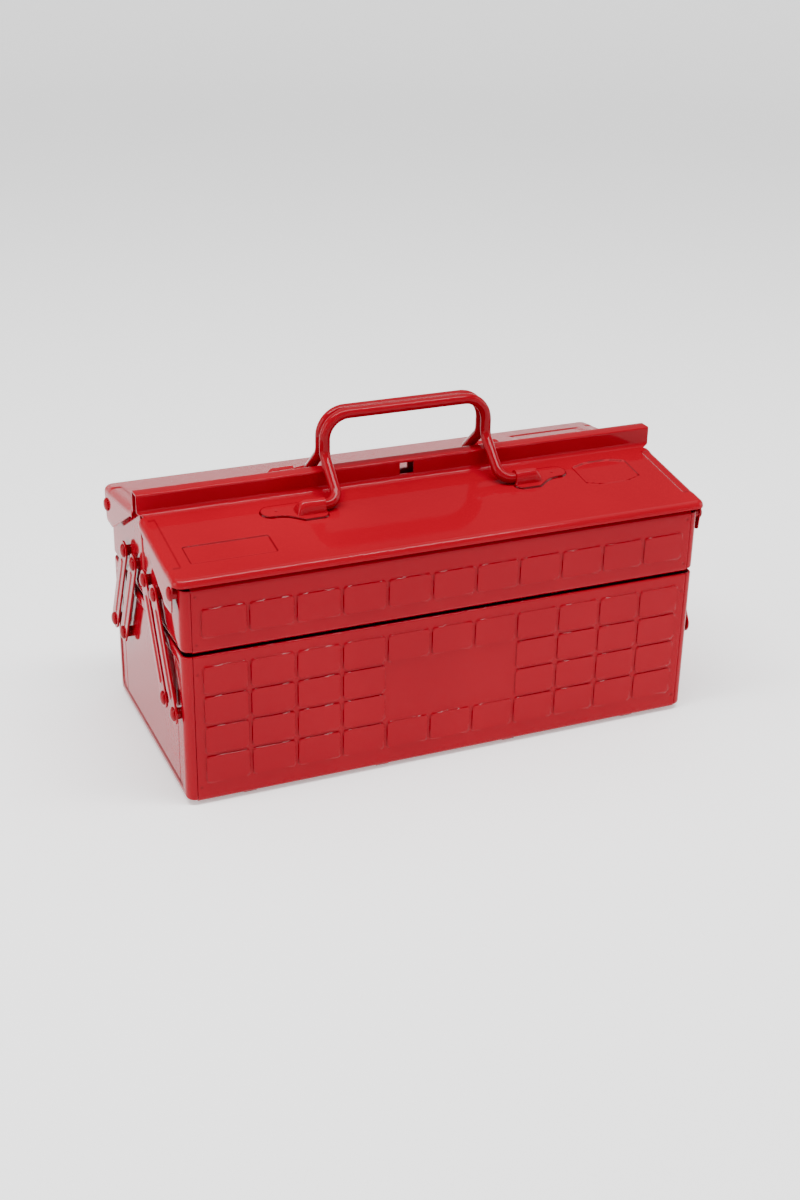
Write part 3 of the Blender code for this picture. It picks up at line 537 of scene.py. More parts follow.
@dataclass(frozen=True)
class Paint:
    """Glossy stoved enamel on steel.

    Attributes:
        name: Name of the material.
        slot: The record's material slot; not used.
        colour: Linear colour of the paint.
        deep: Linear colour of the painted shade in press marks, creases and seams.
        roughness: Roughness of the clean surface.
        peel: Orange peel's strength.
        peel_scale: Orange peel's waves to a metre.
        gloss: Level of the reflection seen square to the surface.
    """

    name: str
    slot: str
    colour: Colour
    deep: Colour
    roughness: float = 0.07
    peel: float = 0.045
    peel_scale: float = 420.0
    gloss: float = 0.10

    def material(self) -> bpy.types.Material:
        """The finish's material, made on first use."""
        return bpy.data.materials.get(self.name) or self._make()

    def _make(self) -> bpy.types.Material:
        """Build the nodes.

        Returns:
            The new material.
        """
        bench = Bench(self.name)
        place = bench.add("ShaderNodeTexCoord", None, None, "Object")
        flow = bench.noise(place, 9.0, 2.0)
        handling = bench.noise(place, 38.0, 5.0, 0.62).eased(0.52, 0.74)
        specks = bench.noise(place, 1900.0, 1.0).eased(0.80, 0.86)
        # Painted shade: a point attribute mixes the paint towards the deep colour in creases, grooves and
        # seams, where shade falls.
        pooled = bench.add("ShaderNodeAttribute", {"attribute_name": "pooled"}, None, "Fac")
        thin = tuple(min(1.0, c * 1.13) for c in self.colour[:3]) + (1.0,)
        body = bench.mix(flow.eased(0.30, 0.72), self.colour, thin)
        body = bench.mix(pooled * 0.9, body, self.deep)
        dusty = bench.mix(specks * 0.06, body, (0.45, 0.10, 0.10, 1.0))
        rough = handling * 0.04 + specks * 0.10 + self.roughness
        peel = bench.noise(place, self.peel_scale, 2.0, 0.45)
        draw = bench.noise(place, 26.0, 2.0, 0.4)
        height = peel * 0.35 + draw * 0.4
        settings = {"Height": height, "Strength": self.peel, "Distance": 0.0012}
        normal = bench.add("ShaderNodeBump", None, settings)
        values = {
            "Base Color": dusty,
            "Roughness": rough,
            "Normal": normal,
            "IOR": 1.5,
            "Specular IOR Level": self.gloss,
        }
        shader = bench.add("ShaderNodeBsdfPrincipled", None, values)
        bench.finish(shader)
        bench.material.diffuse_color = self.colour
        return bench.material


SHEET_PAINT = Paint(
    name="red_sheet_enamel",
    slot="red_sheet_paint",
    colour=(0.245, 0.0002, 0.0074, 1.0),
    deep=(0.066, 0.0001, 0.0016, 1.0),
)
ROD_PAINT = Paint(
    name="red_rod_enamel",
    slot="red_rod_paint",
    colour=(0.205, 0.0002, 0.0060, 1.0),
    deep=(0.060, 0.0001, 0.0013, 1.0),
    roughness=0.055,
    peel=0.02,
)
RIVET_PAINT = Paint(
    name="red_rivet_enamel",
    slot="red_rivet_paint",
    colour=ROD_PAINT.colour,
    deep=ROD_PAINT.deep,
    roughness=0.085,
    peel=0.03,
)


# ---------------------------------------------------------------- what the frame says
@dataclass(frozen=True)
class Layout:
    """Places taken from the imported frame.

    Attributes:
        end_x: Outer face of the end panels.
        depth: Outer face of the long walls.
        floor: Underside of the base sheet between its ribs.
        rim: Top of the base.
        tray_floor: Underside of the trays.
        tray_rim: Top of the trays' outer walls.
        tray_inner: Outer face of a tray's inner wall.
        wall_top: Top of a tray's inner wall.
        lid_end: Outer face of the lids' ends.
        lid_front: Outer face of the lids' skirts.
        ear_low: Lower edge of the lids' ears.
        ridge_y: Outer face of the hood.
        ridge_top: Top of the hood.
        seam_x: Where the wrapped sheets end.
        RIM_OVER_RIVET: Top of a tray's outer wall over the middle of its lid's rivets.
    """

    end_x: float
    depth: float
    floor: float
    rim: float
    tray_floor: float
    tray_rim: float
    tray_inner: float
    wall_top: float
    lid_end: float
    lid_front: float
    ear_low: float
    ridge_y: float
    ridge_top: float
    seam_x: float

    RIM_OVER_RIVET: ClassVar[float] = 0.0082

    @classmethod
    def measure(cls) -> "Layout":
        """Read the places off the frame's boxes."""
        end_low, end_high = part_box("base_end_right")
        sheet_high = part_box("base_sheet")[1]
        tray_low, tray_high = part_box("front_tray_sheet")
        lid_low, lid_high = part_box("front_lid")
        rivet_low, rivet_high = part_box("front_lid_rivet_right")
        return cls(
            end_x=end_high.x,
            depth=end_high.y,
            floor=end_low.z - SHEET - TOUCH_GAP,
            rim=sheet_high.z,
            tray_floor=tray_low.z,
            tray_rim=cls.RIM_OVER_RIVET + rivet_low.z / 2 + rivet_high.z / 2,
            tray_inner=tray_high.y,
            wall_top=tray_high.z,
            lid_end=lid_high.x,
            lid_front=-lid_low.y,
            ear_low=lid_low.z,
            ridge_y=lid_high.y,
            ridge_top=lid_high.z,
            seam_x=sheet_high.x,
        )

    def inside(self, side: Side, height: float) -> Vector:
        """A point in the middle of one half of the box.

        Args:
            side: The half.
            height: Height of the point.

        Returns:
            The point.
        """
        return Vector((0.0, side.value * self.depth / 2, height))


@dataclass(frozen=True)
class Slope:
    """The lids' top faces: a crest height less a fixed fall for each step away from the middle."""

    crest: float = 0.165225
    fall: float = 0.15

    def height(self, y: np.ndarray | float) -> np.ndarray | float:
        """Height of the slope.

        Args:
            y: Distance from the middle.

        Returns:
            The height there.
        """
        return self.crest - np.abs(y) * self.fall


# ---------------------------------------------------------------- wrapped sheets
@dataclass
class SquarePress:
    """Rows of raised squares on a long wall.

    Attributes:
        columns: Squares in a row.
        margin: Sheet's end to the first square's cell.
        rise: How far the squares stand out.
        slope: Width of their sloping sides.
        inset: Middle of a slope to its cell's border.
        radius: Corner radius.
        plain: The (column, row) cells left flat.
    """

    columns: int = 11
    margin: float = 0.0048
    rise: float = 0.00085
    slope: float = 0.0006
    inset: float = 0.00095
    radius: float = 0.0021
    plain: tuple[tuple[int, int], ...] = ()

    OFFSETS = (-0.0026, -0.0016, -0.00122, -0.00095, -0.00068, 0.00068, 0.00095, 0.00122, 0.0016, 0.0026)

    def relief(
        self, x: np.ndarray, z: np.ndarray, half: float, top: float, pitch: float, rows: int
    ) -> np.ndarray:
        """Height share of the squares: each cell's own rounded square, eased over its slope.

        Args:
            x: Places along the wall.
            z: Heights on the wall.
            half: Half length of all the cells together.
            top: Top of the first row's cells.
            pitch: Height of a row.
            rows: Number of rows.

        Returns:
            Share from 0 to 1 at each point.
        """
        width = 2.0 * half / self.columns
        column = np.floor((x + half) / width)
        row = np.floor((top - z) / pitch)
        from_x = x + half - (column + 0.5) * width
        from_z = top - z - (row + 0.5) * pitch
        size = (width / 2 - self.inset, pitch / 2 - self.inset)
        share = press(rounded_box(from_x, from_z, size, self.radius), self.slope)
        inside = (column >= 0) & (column < self.columns) & (row >= 0) & (row < rows)
        for flat_column, flat_row in self.plain:
            inside &= ~((column == flat_column) & (row == flat_row))
        return share * inside


def spot_dimples(x: np.ndarray, z: np.ndarray, spots: Sequence[Pair], radius: float) -> np.ndarray:
    """Depth share of spot-weld dimples: a rounded dish at each spot, at both ends of the sheet.

    Args:
        x: Places along the wall.
        z: Heights on the wall.
        spots: Each dimple's distance from the middle and its height.
        radius: Radius of a dimple.

    Returns:
        Share from 0 to 1 at each point.
    """
    depth = np.zeros_like(x)
    for spot_x, spot_z in spots:
        depth = np.maximum(depth, smooth(1.0 - np.hypot(np.abs(x) - spot_x, z - spot_z) / radius))
    return depth


SPOT_OFFSETS = (-0.0016, -0.0008, 0.0, 0.0008, 0.0016)
SPOT_X = 0.1662
SPOT_RADIUS = 0.0017
SPOT_DEPTH = 0.0003
LEAST_STEP = 1.2e-4
NO_COARSE = 0.2  # so wide that only the two ends are left of the even spread
PLAIN_MIDDLE = tuple((column, row) for column in (4, 5, 6) for row in (1, 2))


@dataclass
class PressedWall:
    """A wrapped sheet's long wall, with its rows of squares and its spot welds.

    Attributes:
        layout: Places from the frame.
        squares: The squares.
        top: Top of the first row's cells.
        pitch: Height of a row.
        rows: Number of rows.
        spots: Heights of the spot welds.
    """

    layout: Layout
    squares: SquarePress
    top: float
    pitch: float
    rows: int
    spots: Pair

    def half(self) -> float:
        """Half length of all the squares' cells together."""
        return self.layout.seam_x - self.squares.margin

    def places(self, edges: Sequence[float] = ()) -> np.ndarray:
        """Stations along X, close together at the squares' borders, the welds and any other edges.

        Args:
            edges: Middles of other sloping edges.

        Returns:
            Rising places.
        """
        borders = np.linspace(-self.half(), self.half(), self.squares.columns + 1)
        span = (-self.layout.seam_x, self.layout.seam_x)
        parts = [
            stations(*span, borders, SquarePress.OFFSETS, 0.009),
            stations(*span, edges, (-0.0012, 0.0, 0.0012), NO_COARSE),
            stations(*span, (-SPOT_X, SPOT_X), SPOT_OFFSETS, NO_COARSE),
        ]
        return apart(np.unique(np.concatenate(parts)), LEAST_STEP)

    def heights(self, low: float, high: float) -> np.ndarray:
        """Stations on the wall from the top down, close together at the rows' borders and the welds.

        Args:
            low: Foot of the wall.
            high: Top of the wall.

        Returns:
            Falling heights.
        """
        marks = [self.top - i * self.pitch for i in range(self.rows + 1)]
        borders = stations(low, high, marks, SquarePress.OFFSETS, 0.006)
        dimples = stations(low, high, self.spots, SPOT_OFFSETS, 0.05)
        return np.unique(np.concatenate([borders, dimples]))[::-1]

    def relief(self, x: np.ndarray, z: np.ndarray, share: np.ndarray) -> tuple[np.ndarray, np.ndarray]:
        """How far the squares and the dimples move the skin.

        Args:
            x: Places along the wall.
            z: Heights.
            share: 1 on the wall, 0 elsewhere.

        Returns:
            The move inwards, and the painted shade on the squares' slopes and in the dimples.
        """
        raised = self.squares.relief(x, z, self.half(), self.top, self.pitch, self.rows) * share
        dished = spot_dimples(x, z, [(SPOT_X, height) for height in self.spots], SPOT_RADIUS) * share
        # Painted shade: darker on the squares' sloping sides and in the weld dimples, where shade falls.
        groove_shade = np.clip(2.6 * raised * (1.0 - raised), 0.0, 1.0) + dished * 0.5
        return SPOT_DEPTH * dished - self.squares.rise * raised, groove_shade


@dataclass
class BaseSheet:
    """Front, bottom and rear of the base in one sheet, with squares, ribs and rolled rims."""

    layout: Layout
    rows: int = 4
    drop: float = 0.0065
    foot: float = 0.0120
    bend: float = 0.0030
    hem: float = 0.0010
    hem_leg: float = 0.0060
    rib_depth: float = 0.0020
    rib_half: float = 0.0040
    rib_slope: float = 0.0024
    rib_end: float = 0.0035
    rib_middle: float = 0.0450
    rib_inset: float = 0.0410
    spots: Pair = (0.0880, 0.0100)

    def wall(self) -> PressedWall:
        """The long wall's squares and welds."""
        lay = self.layout
        pitch = (lay.rim - lay.floor - self.drop - self.foot) / self.rows
        spots = (lay.floor + self.spots[0], lay.floor + self.spots[1])
        squares = SquarePress(plain=PLAIN_MIDDLE)
        return PressedWall(lay, squares, lay.rim - self.drop, pitch, self.rows, spots)

    def ribs(self) -> list[float]:
        """Middles of the ribs along X."""
        outer = self.layout.end_x - self.rib_inset
        return [-outer, -self.rib_middle, self.rib_middle, outer]

    def section(self) -> tuple[np.ndarray, np.ndarray]:
        """Front half of the outer skin's cross-section.

        Returns:
            Points (y, z), and 1 on the wall, 2 on the bottom and 0 elsewhere.
        """
        y, z, low = -self.layout.depth, self.layout.rim, self.layout.floor
        inner = y + 2 * self.hem
        leg = run((inner, z - self.hem_leg), (inner, z - self.hem), (0.0, 0.35, 0.7))
        roll = turn((y + self.hem, z - self.hem), self.hem, 0, 180, 10)
        heights = self.wall().heights(low + self.bend, z - self.hem)[1:]
        wall = np.stack([np.full(len(heights), y), heights], axis=-1)
        lower = turn((y + self.bend, low + self.bend), self.bend, 180, 270, 8)[1:]
        marks = (y + self.rib_end, y + self.rib_end + self.rib_depth)
        near = (-0.0010, -0.0005, 0.0, 0.0005, 0.0010)
        bottom_y = stations(y + self.bend, 0.0, marks, near, 0.010)[1:]
        bottom = np.stack([bottom_y, np.full(len(bottom_y), low)], axis=-1)
        parts = (leg, roll, wall, lower, bottom)
        zone = np.repeat((0.0, 0.0, 1.0, 0.0, 2.0), [len(part) for part in parts])
        return np.concatenate(parts), zone

    def patches(self) -> list[Patch]:
        """Both halves: the section carried along X, walls moved out and ribs moved down by relief."""
        section, zone = self.section()
        wall = self.wall()
        edge = self.rib_half + self.rib_slope / 2
        x = wall.places([middle + way * edge for middle in self.ribs() for way in (-1, 1)])
        across, along = np.meshgrid(section[:, 0], x, indexing="ij")
        height = np.broadcast_to(section[:, 1:2], across.shape)
        move, groove_shade = wall.relief(along, height, (zone == 1.0)[:, None])
        distance = np.abs(along[:, :, None] - np.array(self.ribs())).min(axis=2)
        sides = smooth(1.0 - (distance - self.rib_half) / self.rib_slope)
        ends = smooth((across + self.layout.depth - self.rib_end + 0.001) / self.rib_depth)
        rib = sides * ends * (zone == 2.0)[:, None]
        front = np.stack([along, across + move, height - self.rib_depth * rib], axis=-1)
        rear = front * Side.REAR.mirror
        return [Patch(front, groove_shade), Patch(rear[::-1], groove_shade[::-1])]

    def build(self) -> None:
        """Make the sheet."""
        inside = Vector((0.0, 0.0, self.layout.rim / 2))
        add_piece("base_sheet_pressed", self.patches(), "base", "base_sheet", SHEET_PAINT, inside, SHEET)


@dataclass
class TraySheet:
    """Outer wall, bottom and inner wall of one tray."""

    layout: Layout
    side: Side
    ledge: float = 0.0424
    drop: float = 0.0126
    pitch: float = 0.02045
    rim_inset: float = 0.0020
    step: float = 0.0012
    bend: float = 0.0030
    corner: float = 0.0020
    spots: Pair = (0.0375, 0.0060)

    def wall(self) -> PressedWall:
        """The outer wall's squares and welds."""
        floor = self.layout.tray_floor
        top = floor + self.ledge - self.drop
        spots = (floor + self.spots[0], floor + self.spots[1])
        return PressedWall(self.layout, SquarePress(), top, self.pitch, 1, spots)

    def section(self) -> tuple[np.ndarray, np.ndarray]:
        """Cross-section of the outer skin, from the rim round to the inner wall's top.

        Returns:
            Points (y, z), and 1 on the outer wall and 0 elsewhere.
        """
        y, inner, bottom = -self.layout.depth, self.layout.tray_inner, self.layout.tray_floor
        ledge = bottom + self.ledge
        rim_y = y + self.rim_inset
        rim = run((rim_y, self.layout.tray_rim), (rim_y, ledge + self.step), (0.0, 0.5, 0.85))
        share = np.linspace(0.0, 1.0, 7)
        joggle_y = y + self.rim_inset * (1 - smooth(share))
        joggle = np.stack([joggle_y, ledge + self.step * (1 - 2 * share)], axis=-1)
        low = bottom + self.bend
        heights = self.wall().heights(low, ledge - self.step)[1:]
        wall = np.stack([np.full(len(heights), y), heights], axis=-1)
        lower = turn((y + self.bend, low), self.bend, 180, 270, 8)[1:]
        centre = (inner - self.corner, bottom + self.corner)
        floor = run((y + self.bend, bottom), (inner - self.corner, bottom), np.linspace(0.1, 0.9, 9))
        rising = turn(centre, self.corner, 270, 360, 6)
        upper = run((inner, centre[1]), (inner, self.layout.wall_top), np.linspace(0.1, 1.0, 7))
        parts = (rim, joggle, wall, lower, floor, rising, upper)
        zone = np.repeat((0.0, 0.0, 1.0, 0.0, 0.0, 0.0, 0.0), [len(part) for part in parts])
        return np.concatenate(parts), zone

    def patches(self) -> list[Patch]:
        """The section carried along X, its outer wall moved out by the squares' relief."""
        section, zone = self.section()
        wall = self.wall()
        across, along = np.meshgrid(section[:, 0], wall.places(), indexing="ij")
        height = np.broadcast_to(section[:, 1:2], across.shape)
        move, groove_shade = wall.relief(along, height, zone[:, None])
        return [Patch(np.stack([along, across + move, height], axis=-1) * self.side.mirror, groove_shade)]

    def build(self) -> None:
        """Make the sheet."""
        word = self.side.word
        inside = self.layout.inside(self.side, self.layout.tray_floor + self.ledge)
        body, node = f"{word}_tray", f"{word}_tray_sheet"
        add_piece(f"{word}_tray_pressed", self.patches(), body, node, SHEET_PAINT, inside, SHEET)


# ---------------------------------------------------------------- end panels
def square_on(normals: np.ndarray) -> np.ndarray:
    """Which normals point straight along X.

    Args:
        normals: Unit normals in plan.

    Returns:
        True for each one that does.
    """
    return np.abs(normals[:, 0]) > 0.999


@dataclass
class EndPanel:
    """What the base's and the trays' end panels share: an upright plan carried up a wall."""

    layout: Layout
    end: End
    radius: float = 0.0060
    foot_bend: float = 0.0020
    floor_reach: float = 0.0170

    def plan(self, front: float, rear: float, rear_radius: float, y: np.ndarray) -> Plan:
        """Plan of the panel: a front corner's arc, the straight wall and a rear corner's arc.

        Args:
            front: Long wall's outer face at the front.
            rear: Long wall's outer face at the rear.
            rear_radius: Radius of the rear corner.
            y: Stations on the straight wall, front to rear.

        Returns:
            Points (x, y), outward normals, and how far inwards the floor may reach.
        """
        end = self.layout.end_x
        near = (-end + self.radius, front + self.radius)
        far = (-end + rear_radius, rear - rear_radius)
        first = turn(near, self.radius, 270, 180, 9)
        last = turn(far, rear_radius, 180, 90, 9)
        straight = np.stack([np.full(len(y), -end), y], axis=-1)
        points = np.concatenate([first, straight, last])
        middles = [np.tile(near, (len(first), 1)), straight + (1.0, 0.0), np.tile(far, (len(last), 1))]
        away = points - np.concatenate(middles)
        normals = away / np.linalg.norm(away, axis=1, keepdims=True)
        reach = np.repeat((self.radius, self.floor_reach, rear_radius), (len(first), len(y), len(last)))
        return points, normals, reach

    def foot_rows(self, foot: float) -> np.ndarray:
        """Rows from the floor flange's edge round the bend at the foot.

        Args:
            foot: Height of the flange.

        Returns:
            Inset and height of each row.
        """
        bend = np.radians(np.linspace(0.0, 90.0, 6))
        inset, rise = self.foot_bend * (1 - np.sin(bend)), self.foot_bend * (1 - np.cos(bend))
        rounded = np.stack([inset, foot + rise], axis=-1)
        return np.concatenate([[(self.floor_reach, foot), (self.floor_reach / 2, foot)], rounded])

    def carry(self, plan: Plan, inset: np.ndarray, height: np.ndarray) -> np.ndarray:
        """Points of the panel: each plan point moved inwards along its normal, at each row's height.

        Args:
            plan: Result of plan.
            inset: Inset of each row and column.
            height: Height of each row and column.

        Returns:
            Array of shape (rows, columns, 3), for this end.
        """
        points, normals, reach = plan
        held = np.minimum(inset, reach[None, :])[:, :, None]
        flat = points[None, :, :] - normals[None, :, :] * held
        return np.concatenate([flat * (-self.end.value, 1.0), height[:, :, None]], axis=2)


@dataclass
class BaseEnd(EndPanel):
    """One end of the base, with its sunk panel, creases and rolled rim."""

    hem: float = 0.0010
    hem_leg: float = 0.0060
    sink: float = 0.0008
    sink_slope: float = 0.0016
    panel_half: float = 0.0735
    border: float = 0.0062
    crease_y: float = 0.0635
    crease_depth: float = 0.00022

    def patches(self) -> list[Patch]:
        """The wall with its foot, panel and roll, and the two welded flanges inside."""
        lay = self.layout
        foot = lay.floor + SHEET + TOUCH_GAP
        straight = lay.depth - self.radius
        marks = (-self.panel_half, -self.crease_y, self.crease_y, self.panel_half)
        offsets = (-0.0014, -0.0010, -0.0006, -0.0003, 0.0, 0.0003, 0.0006, 0.0010, 0.0014)
        y = stations(-straight, straight, marks, offsets, 0.004)[1:-1]
        plan = self.plan(-lay.depth, lay.depth, self.radius, y)
        low, high = lay.floor + self.border, lay.rim - self.border - 0.0008
        levels = stations(foot + self.foot_bend, lay.rim - self.hem, (low, high), offsets, 0.004)[1:]
        theta = np.radians(np.linspace(0.0, 180.0, 11))
        roll_z = lay.rim - self.hem + self.hem * np.sin(theta)
        roll = np.stack([self.hem * (1 - np.cos(theta)), roll_z], axis=-1)[1:]
        upright = np.stack([np.zeros(len(levels)), levels], axis=-1)
        leg_end = [(2 * self.hem, lay.rim - self.hem_leg)]
        rows = np.concatenate([self.foot_rows(foot), upright, roll, leg_end])
        inset = np.repeat(rows[:, :1], len(plan[0]), axis=1)
        height = np.repeat(rows[:, 1:], len(plan[0]), axis=1)
        y = np.broadcast_to(plan[0][None, :, 1], inset.shape)
        box = rounded_box(y, height - (low + high) / 2, (self.panel_half, (high - low) / 2), 0.0045)
        on_wall = square_on(plan[1])[None, :] & (inset == 0.0)
        sunk = press(box, self.sink_slope) * on_wall
        crease = smooth(1.0 - np.abs(np.abs(y) - self.crease_y) / 0.0009) * sunk
        # Painted shade: darker along the sunk panel's slope and in the creases, where shade falls.
        pooled = np.clip(4.0 * sunk * (1.0 - sunk), 0.0, 1.0) + 0.6 * crease
        wall = self.carry(plan, inset + self.sink * sunk + self.crease_depth * crease, height)
        return [Patch(wall, pooled), *self.flanges(foot)]

    def flanges(self, foot: float) -> list[Patch]:
        """Flat strips welded under the wrapped sheet: a rectangle inside each long wall.

        Args:
            foot: Height of the panel's foot.

        Returns:
            The two strips.
        """
        lay = self.layout
        x = np.linspace(lay.seam_x - 0.0004, lay.seam_x - 0.0107, 4)
        z = np.linspace(foot + 0.0030, lay.rim - self.hem_leg - 0.0004, 6)
        along, up = np.meshgrid(x * self.end.value, z, indexing="xy")
        deep = lay.depth - SHEET - TOUCH_GAP
        walls = [np.full_like(along, way * deep) for way in (-1, 1)]
        return [Patch(np.stack([along, wall, up], axis=-1)) for wall in walls]

    def build(self) -> None:
        """Make the panel."""
        node = f"base_end_{self.end.word}"
        inside = Vector((0.0, 0.0, self.layout.rim / 2))
        add_piece(f"{node}_pressed", self.patches(), "base", node, SHEET_PAINT, inside, SHEET)


@dataclass
class TrayEnd(EndPanel):
    """One end of a tray, cut along its top to the lid's slope."""

    side: Side = Side.FRONT
    slope: Slope = Slope()
    inner_radius: float = 0.0020
    ledge: float = 0.0424
    lid_gap: float = 0.0010
    corner_run: float = 0.003
    crease_y: float = 0.0640

    def tops(self, plan: Plan) -> np.ndarray:
        """Height of the wall's top: the ledge at the corners, else under the lid's slope.

        Args:
            plan: Result of plan.

        Returns:
            The height at each plan point.
        """
        lay = self.layout
        y = -plan[0][:, 1]
        under = self.slope.height(y) - SHEET - self.lid_gap
        share = smooth((lay.depth - self.radius - y) / self.corner_run)
        straight = lay.tray_rim + (under - lay.tray_rim) * share
        return np.where(square_on(plan[1]), straight, lay.tray_floor + self.ledge - SHEET)

    def patches(self) -> list[Patch]:
        """The wall from its foot up to the top."""
        lay = self.layout
        foot = lay.tray_floor + SHEET + TOUCH_GAP
        span = (-lay.depth + self.radius, lay.tray_inner - self.inner_radius)
        offsets = (-0.0012, -0.0006, 0.0, 0.0006, 0.0012)
        y = stations(*span, (-self.crease_y,), offsets, 0.003)[1:-1]
        plan = self.plan(-lay.depth, lay.tray_inner, self.inner_radius, y)
        tops = self.tops(plan)[None, :]
        flange = np.repeat(self.foot_rows(foot)[:, :, None], tops.size, axis=2)
        shares = np.linspace(0.0, 1.0, 15)[1:, None]
        start = foot + self.foot_bend
        height = np.concatenate([flange[:, 1], start + (tops - start) * shares])
        inset = np.concatenate([flange[:, 0], np.zeros((len(shares), tops.size))])
        return [Patch(self.carry(plan, inset, height) * self.side.mirror)]

    def build(self) -> None:
        """Make the panel."""
        side, end = self.side.word, self.end.word
        inside = self.layout.inside(self.side, self.layout.tray_floor + 0.02)
        node = f"{side}_tray_end_{end}"
        add_piece(f"{node}_pressed", self.patches(), f"{side}_tray", node, SHEET_PAINT, inside, SHEET)


# ---------------------------------------------------------------- lids
@dataclass
class Lid:
    """One lid: sloping top with press marks, rolled edges, skirt, ears, and its hood or upstand."""

    layout: Layout
    side: Side
    slope: Slope
    edge: float = 0.0045
    inner_corner: float = 0.0020
    skirt: float = 0.0048
    ear_width: float = 0.0160
    ear_round: float = 0.0035
    taper_y: float = 0.0120
    taper_drop: float = 0.0055
    foot: float = 0.0030
    top_radius: float = 0.0012
    lip: float = 0.0140
    upstand_gap: float = 0.0004
    ear_gap: float = 0.0002
    ear_fade: float = 0.0007
    upstand_drop: float = 0.0012
    hole_half: float = 0.0047
    hole_drop: float = 0.0020
    hole_height: float = 0.0078
    hole_middle: float = 0.0040
    mark_depth: float = 0.00060
    end_step: float = 0.00045
    end_step_x: float = 0.1700
    mark_slope: float = 0.0013
    label: tuple[float, float, float, float] = (-0.1360, -0.0565, 0.0270, 0.0095)
    plate: tuple[float, float, float, float] = (0.1328, -0.0305, 0.0198, 0.0145)
    least_step: float = 1.1e-4

    def ridge_foot(self) -> float:
        """Distance from the middle at which the slope meets the ridge's flare."""
        return self.layout.ridge_y + self.foot

    def places(self) -> tuple[np.ndarray, np.ndarray]:
        """Stations along X and Y over the flat of the lid."""
        x_end = self.layout.lid_end - self.edge
        y_end = self.layout.lid_front - self.edge
        near = (-0.0008, -0.0004, 0.0, 0.0004, 0.0008)
        label_x, label_y, label_w, label_d = self.label
        plate_x, plate_y, plate_w, plate_d = self.plate
        marks_x = [label_x - label_w, label_x + label_w, plate_x - plate_w, plate_x + plate_w]
        marks_x += [-self.end_step_x, self.end_step_x, -self.hole_half, self.hole_half]
        bulge = plate_d * 0.85
        marks_y = [label_y - label_d, label_y + label_d, plate_y - bulge, plate_y + bulge]
        corner = np.linspace(0.0, self.inner_corner, 5)
        even_x = stations(-x_end, x_end, marks_x, near, 0.0022)
        even_y = stations(-y_end, -self.ridge_foot(), marks_y, near, 0.0016)
        x = np.unique(np.round(np.concatenate([even_x, -x_end + corner, x_end - corner]), 6))
        y = np.unique(np.round(np.concatenate([even_y, -y_end + corner]), 6))
        return apart(x, self.least_step), apart(y, self.least_step)

    def relief(self, x: np.ndarray, y: np.ndarray) -> tuple[np.ndarray, np.ndarray]:
        """Depth of the press marks: a sunk label field, a sunk barrel-shaped plate, and end steps.

        Args:
            x: Places along the lid.
            y: Places across it, negative.

        Returns:
            Depth below the slope, and the painted shade along the marks' slopes and the end steps.
        """
        turned = x if self.side is Side.FRONT else -x
        label_x, label_y, label_w, label_d = self.label
        field_edge = rounded_box(turned - label_x, y - label_y, (label_w, label_d), 0.0012)
        label = press(field_edge, self.mark_slope)
        plate_x, plate_y, plate_w, plate_d = self.plate
        off = turned - plate_x
        bulge = plate_d - 0.0045 * (off / plate_w) ** 2
        barrel = np.maximum(np.abs(off) - plate_w, np.abs(y - plate_y) - bulge)
        plate = press(barrel, self.mark_slope)
        fade = smooth((-y - 0.0110) / 0.003) * smooth((0.0700 + y) / 0.004)
        ends = smooth((np.abs(x) - self.end_step_x) / 0.0016 + 0.5) * fade
        depth = self.mark_depth * (label + plate * 0.8) + self.end_step * ends
        # Painted shade: darker along the press marks' slopes and the end steps.
        marks = np.clip(4.0 * label * (1 - label) + 4.0 * plate * (1 - plate), 0.0, 1.0)
        return depth, np.clip(marks + 2.0 * ends * (1 - ends), 0.0, 1.0)

    def top(self) -> Patch:
        """The flat: a grid whose front corners are mapped from a square onto a quarter disc."""
        xs, ys = self.places()
        x, y = np.meshgrid(xs, ys, indexing="xy")
        x_end = self.layout.lid_end - self.edge
        y_end = self.layout.lid_front - self.edge
        r = self.inner_corner
        a = np.clip((np.abs(x) - x_end + r) / r, 0.0, 1.0)
        b = np.clip((-y - y_end + r) / r, 0.0, 1.0)
        both = (a > 0) & (b > 0)
        x = np.where(both, np.sign(x) * (x_end - r + r * a * np.sqrt(1 - b * b / 2)), x)
        y = np.where(both, -(y_end - r + r * b * np.sqrt(1 - a * a / 2)), y)
        depth, pooled = self.relief(x, y)
        return Patch(np.stack([x, y, self.slope.height(y) - depth], axis=-1), pooled)

    def border(self, top: Patch) -> tuple[np.ndarray, np.ndarray]:
        """The flat's open border, from the ridge at the left round to the ridge at the right.

        Args:
            top: The flat.

        Returns:
            Border points, and their outward normals in plan.
        """
        grid = top.points
        loop = np.concatenate([grid[::-1, 0], grid[0, 1:], grid[1:, -1]])
        x_end = self.layout.lid_end - self.edge - self.inner_corner
        y_end = self.layout.lid_front - self.edge - self.inner_corner
        past_x = np.sign(loop[:, 0]) * np.maximum(np.abs(loop[:, 0]) - x_end, 0.0)
        past_y = -np.maximum(-loop[:, 1] - y_end, 0.0)
        away = np.stack([past_x, past_y], axis=-1)
        return loop, away / np.linalg.norm(away, axis=1, keepdims=True)

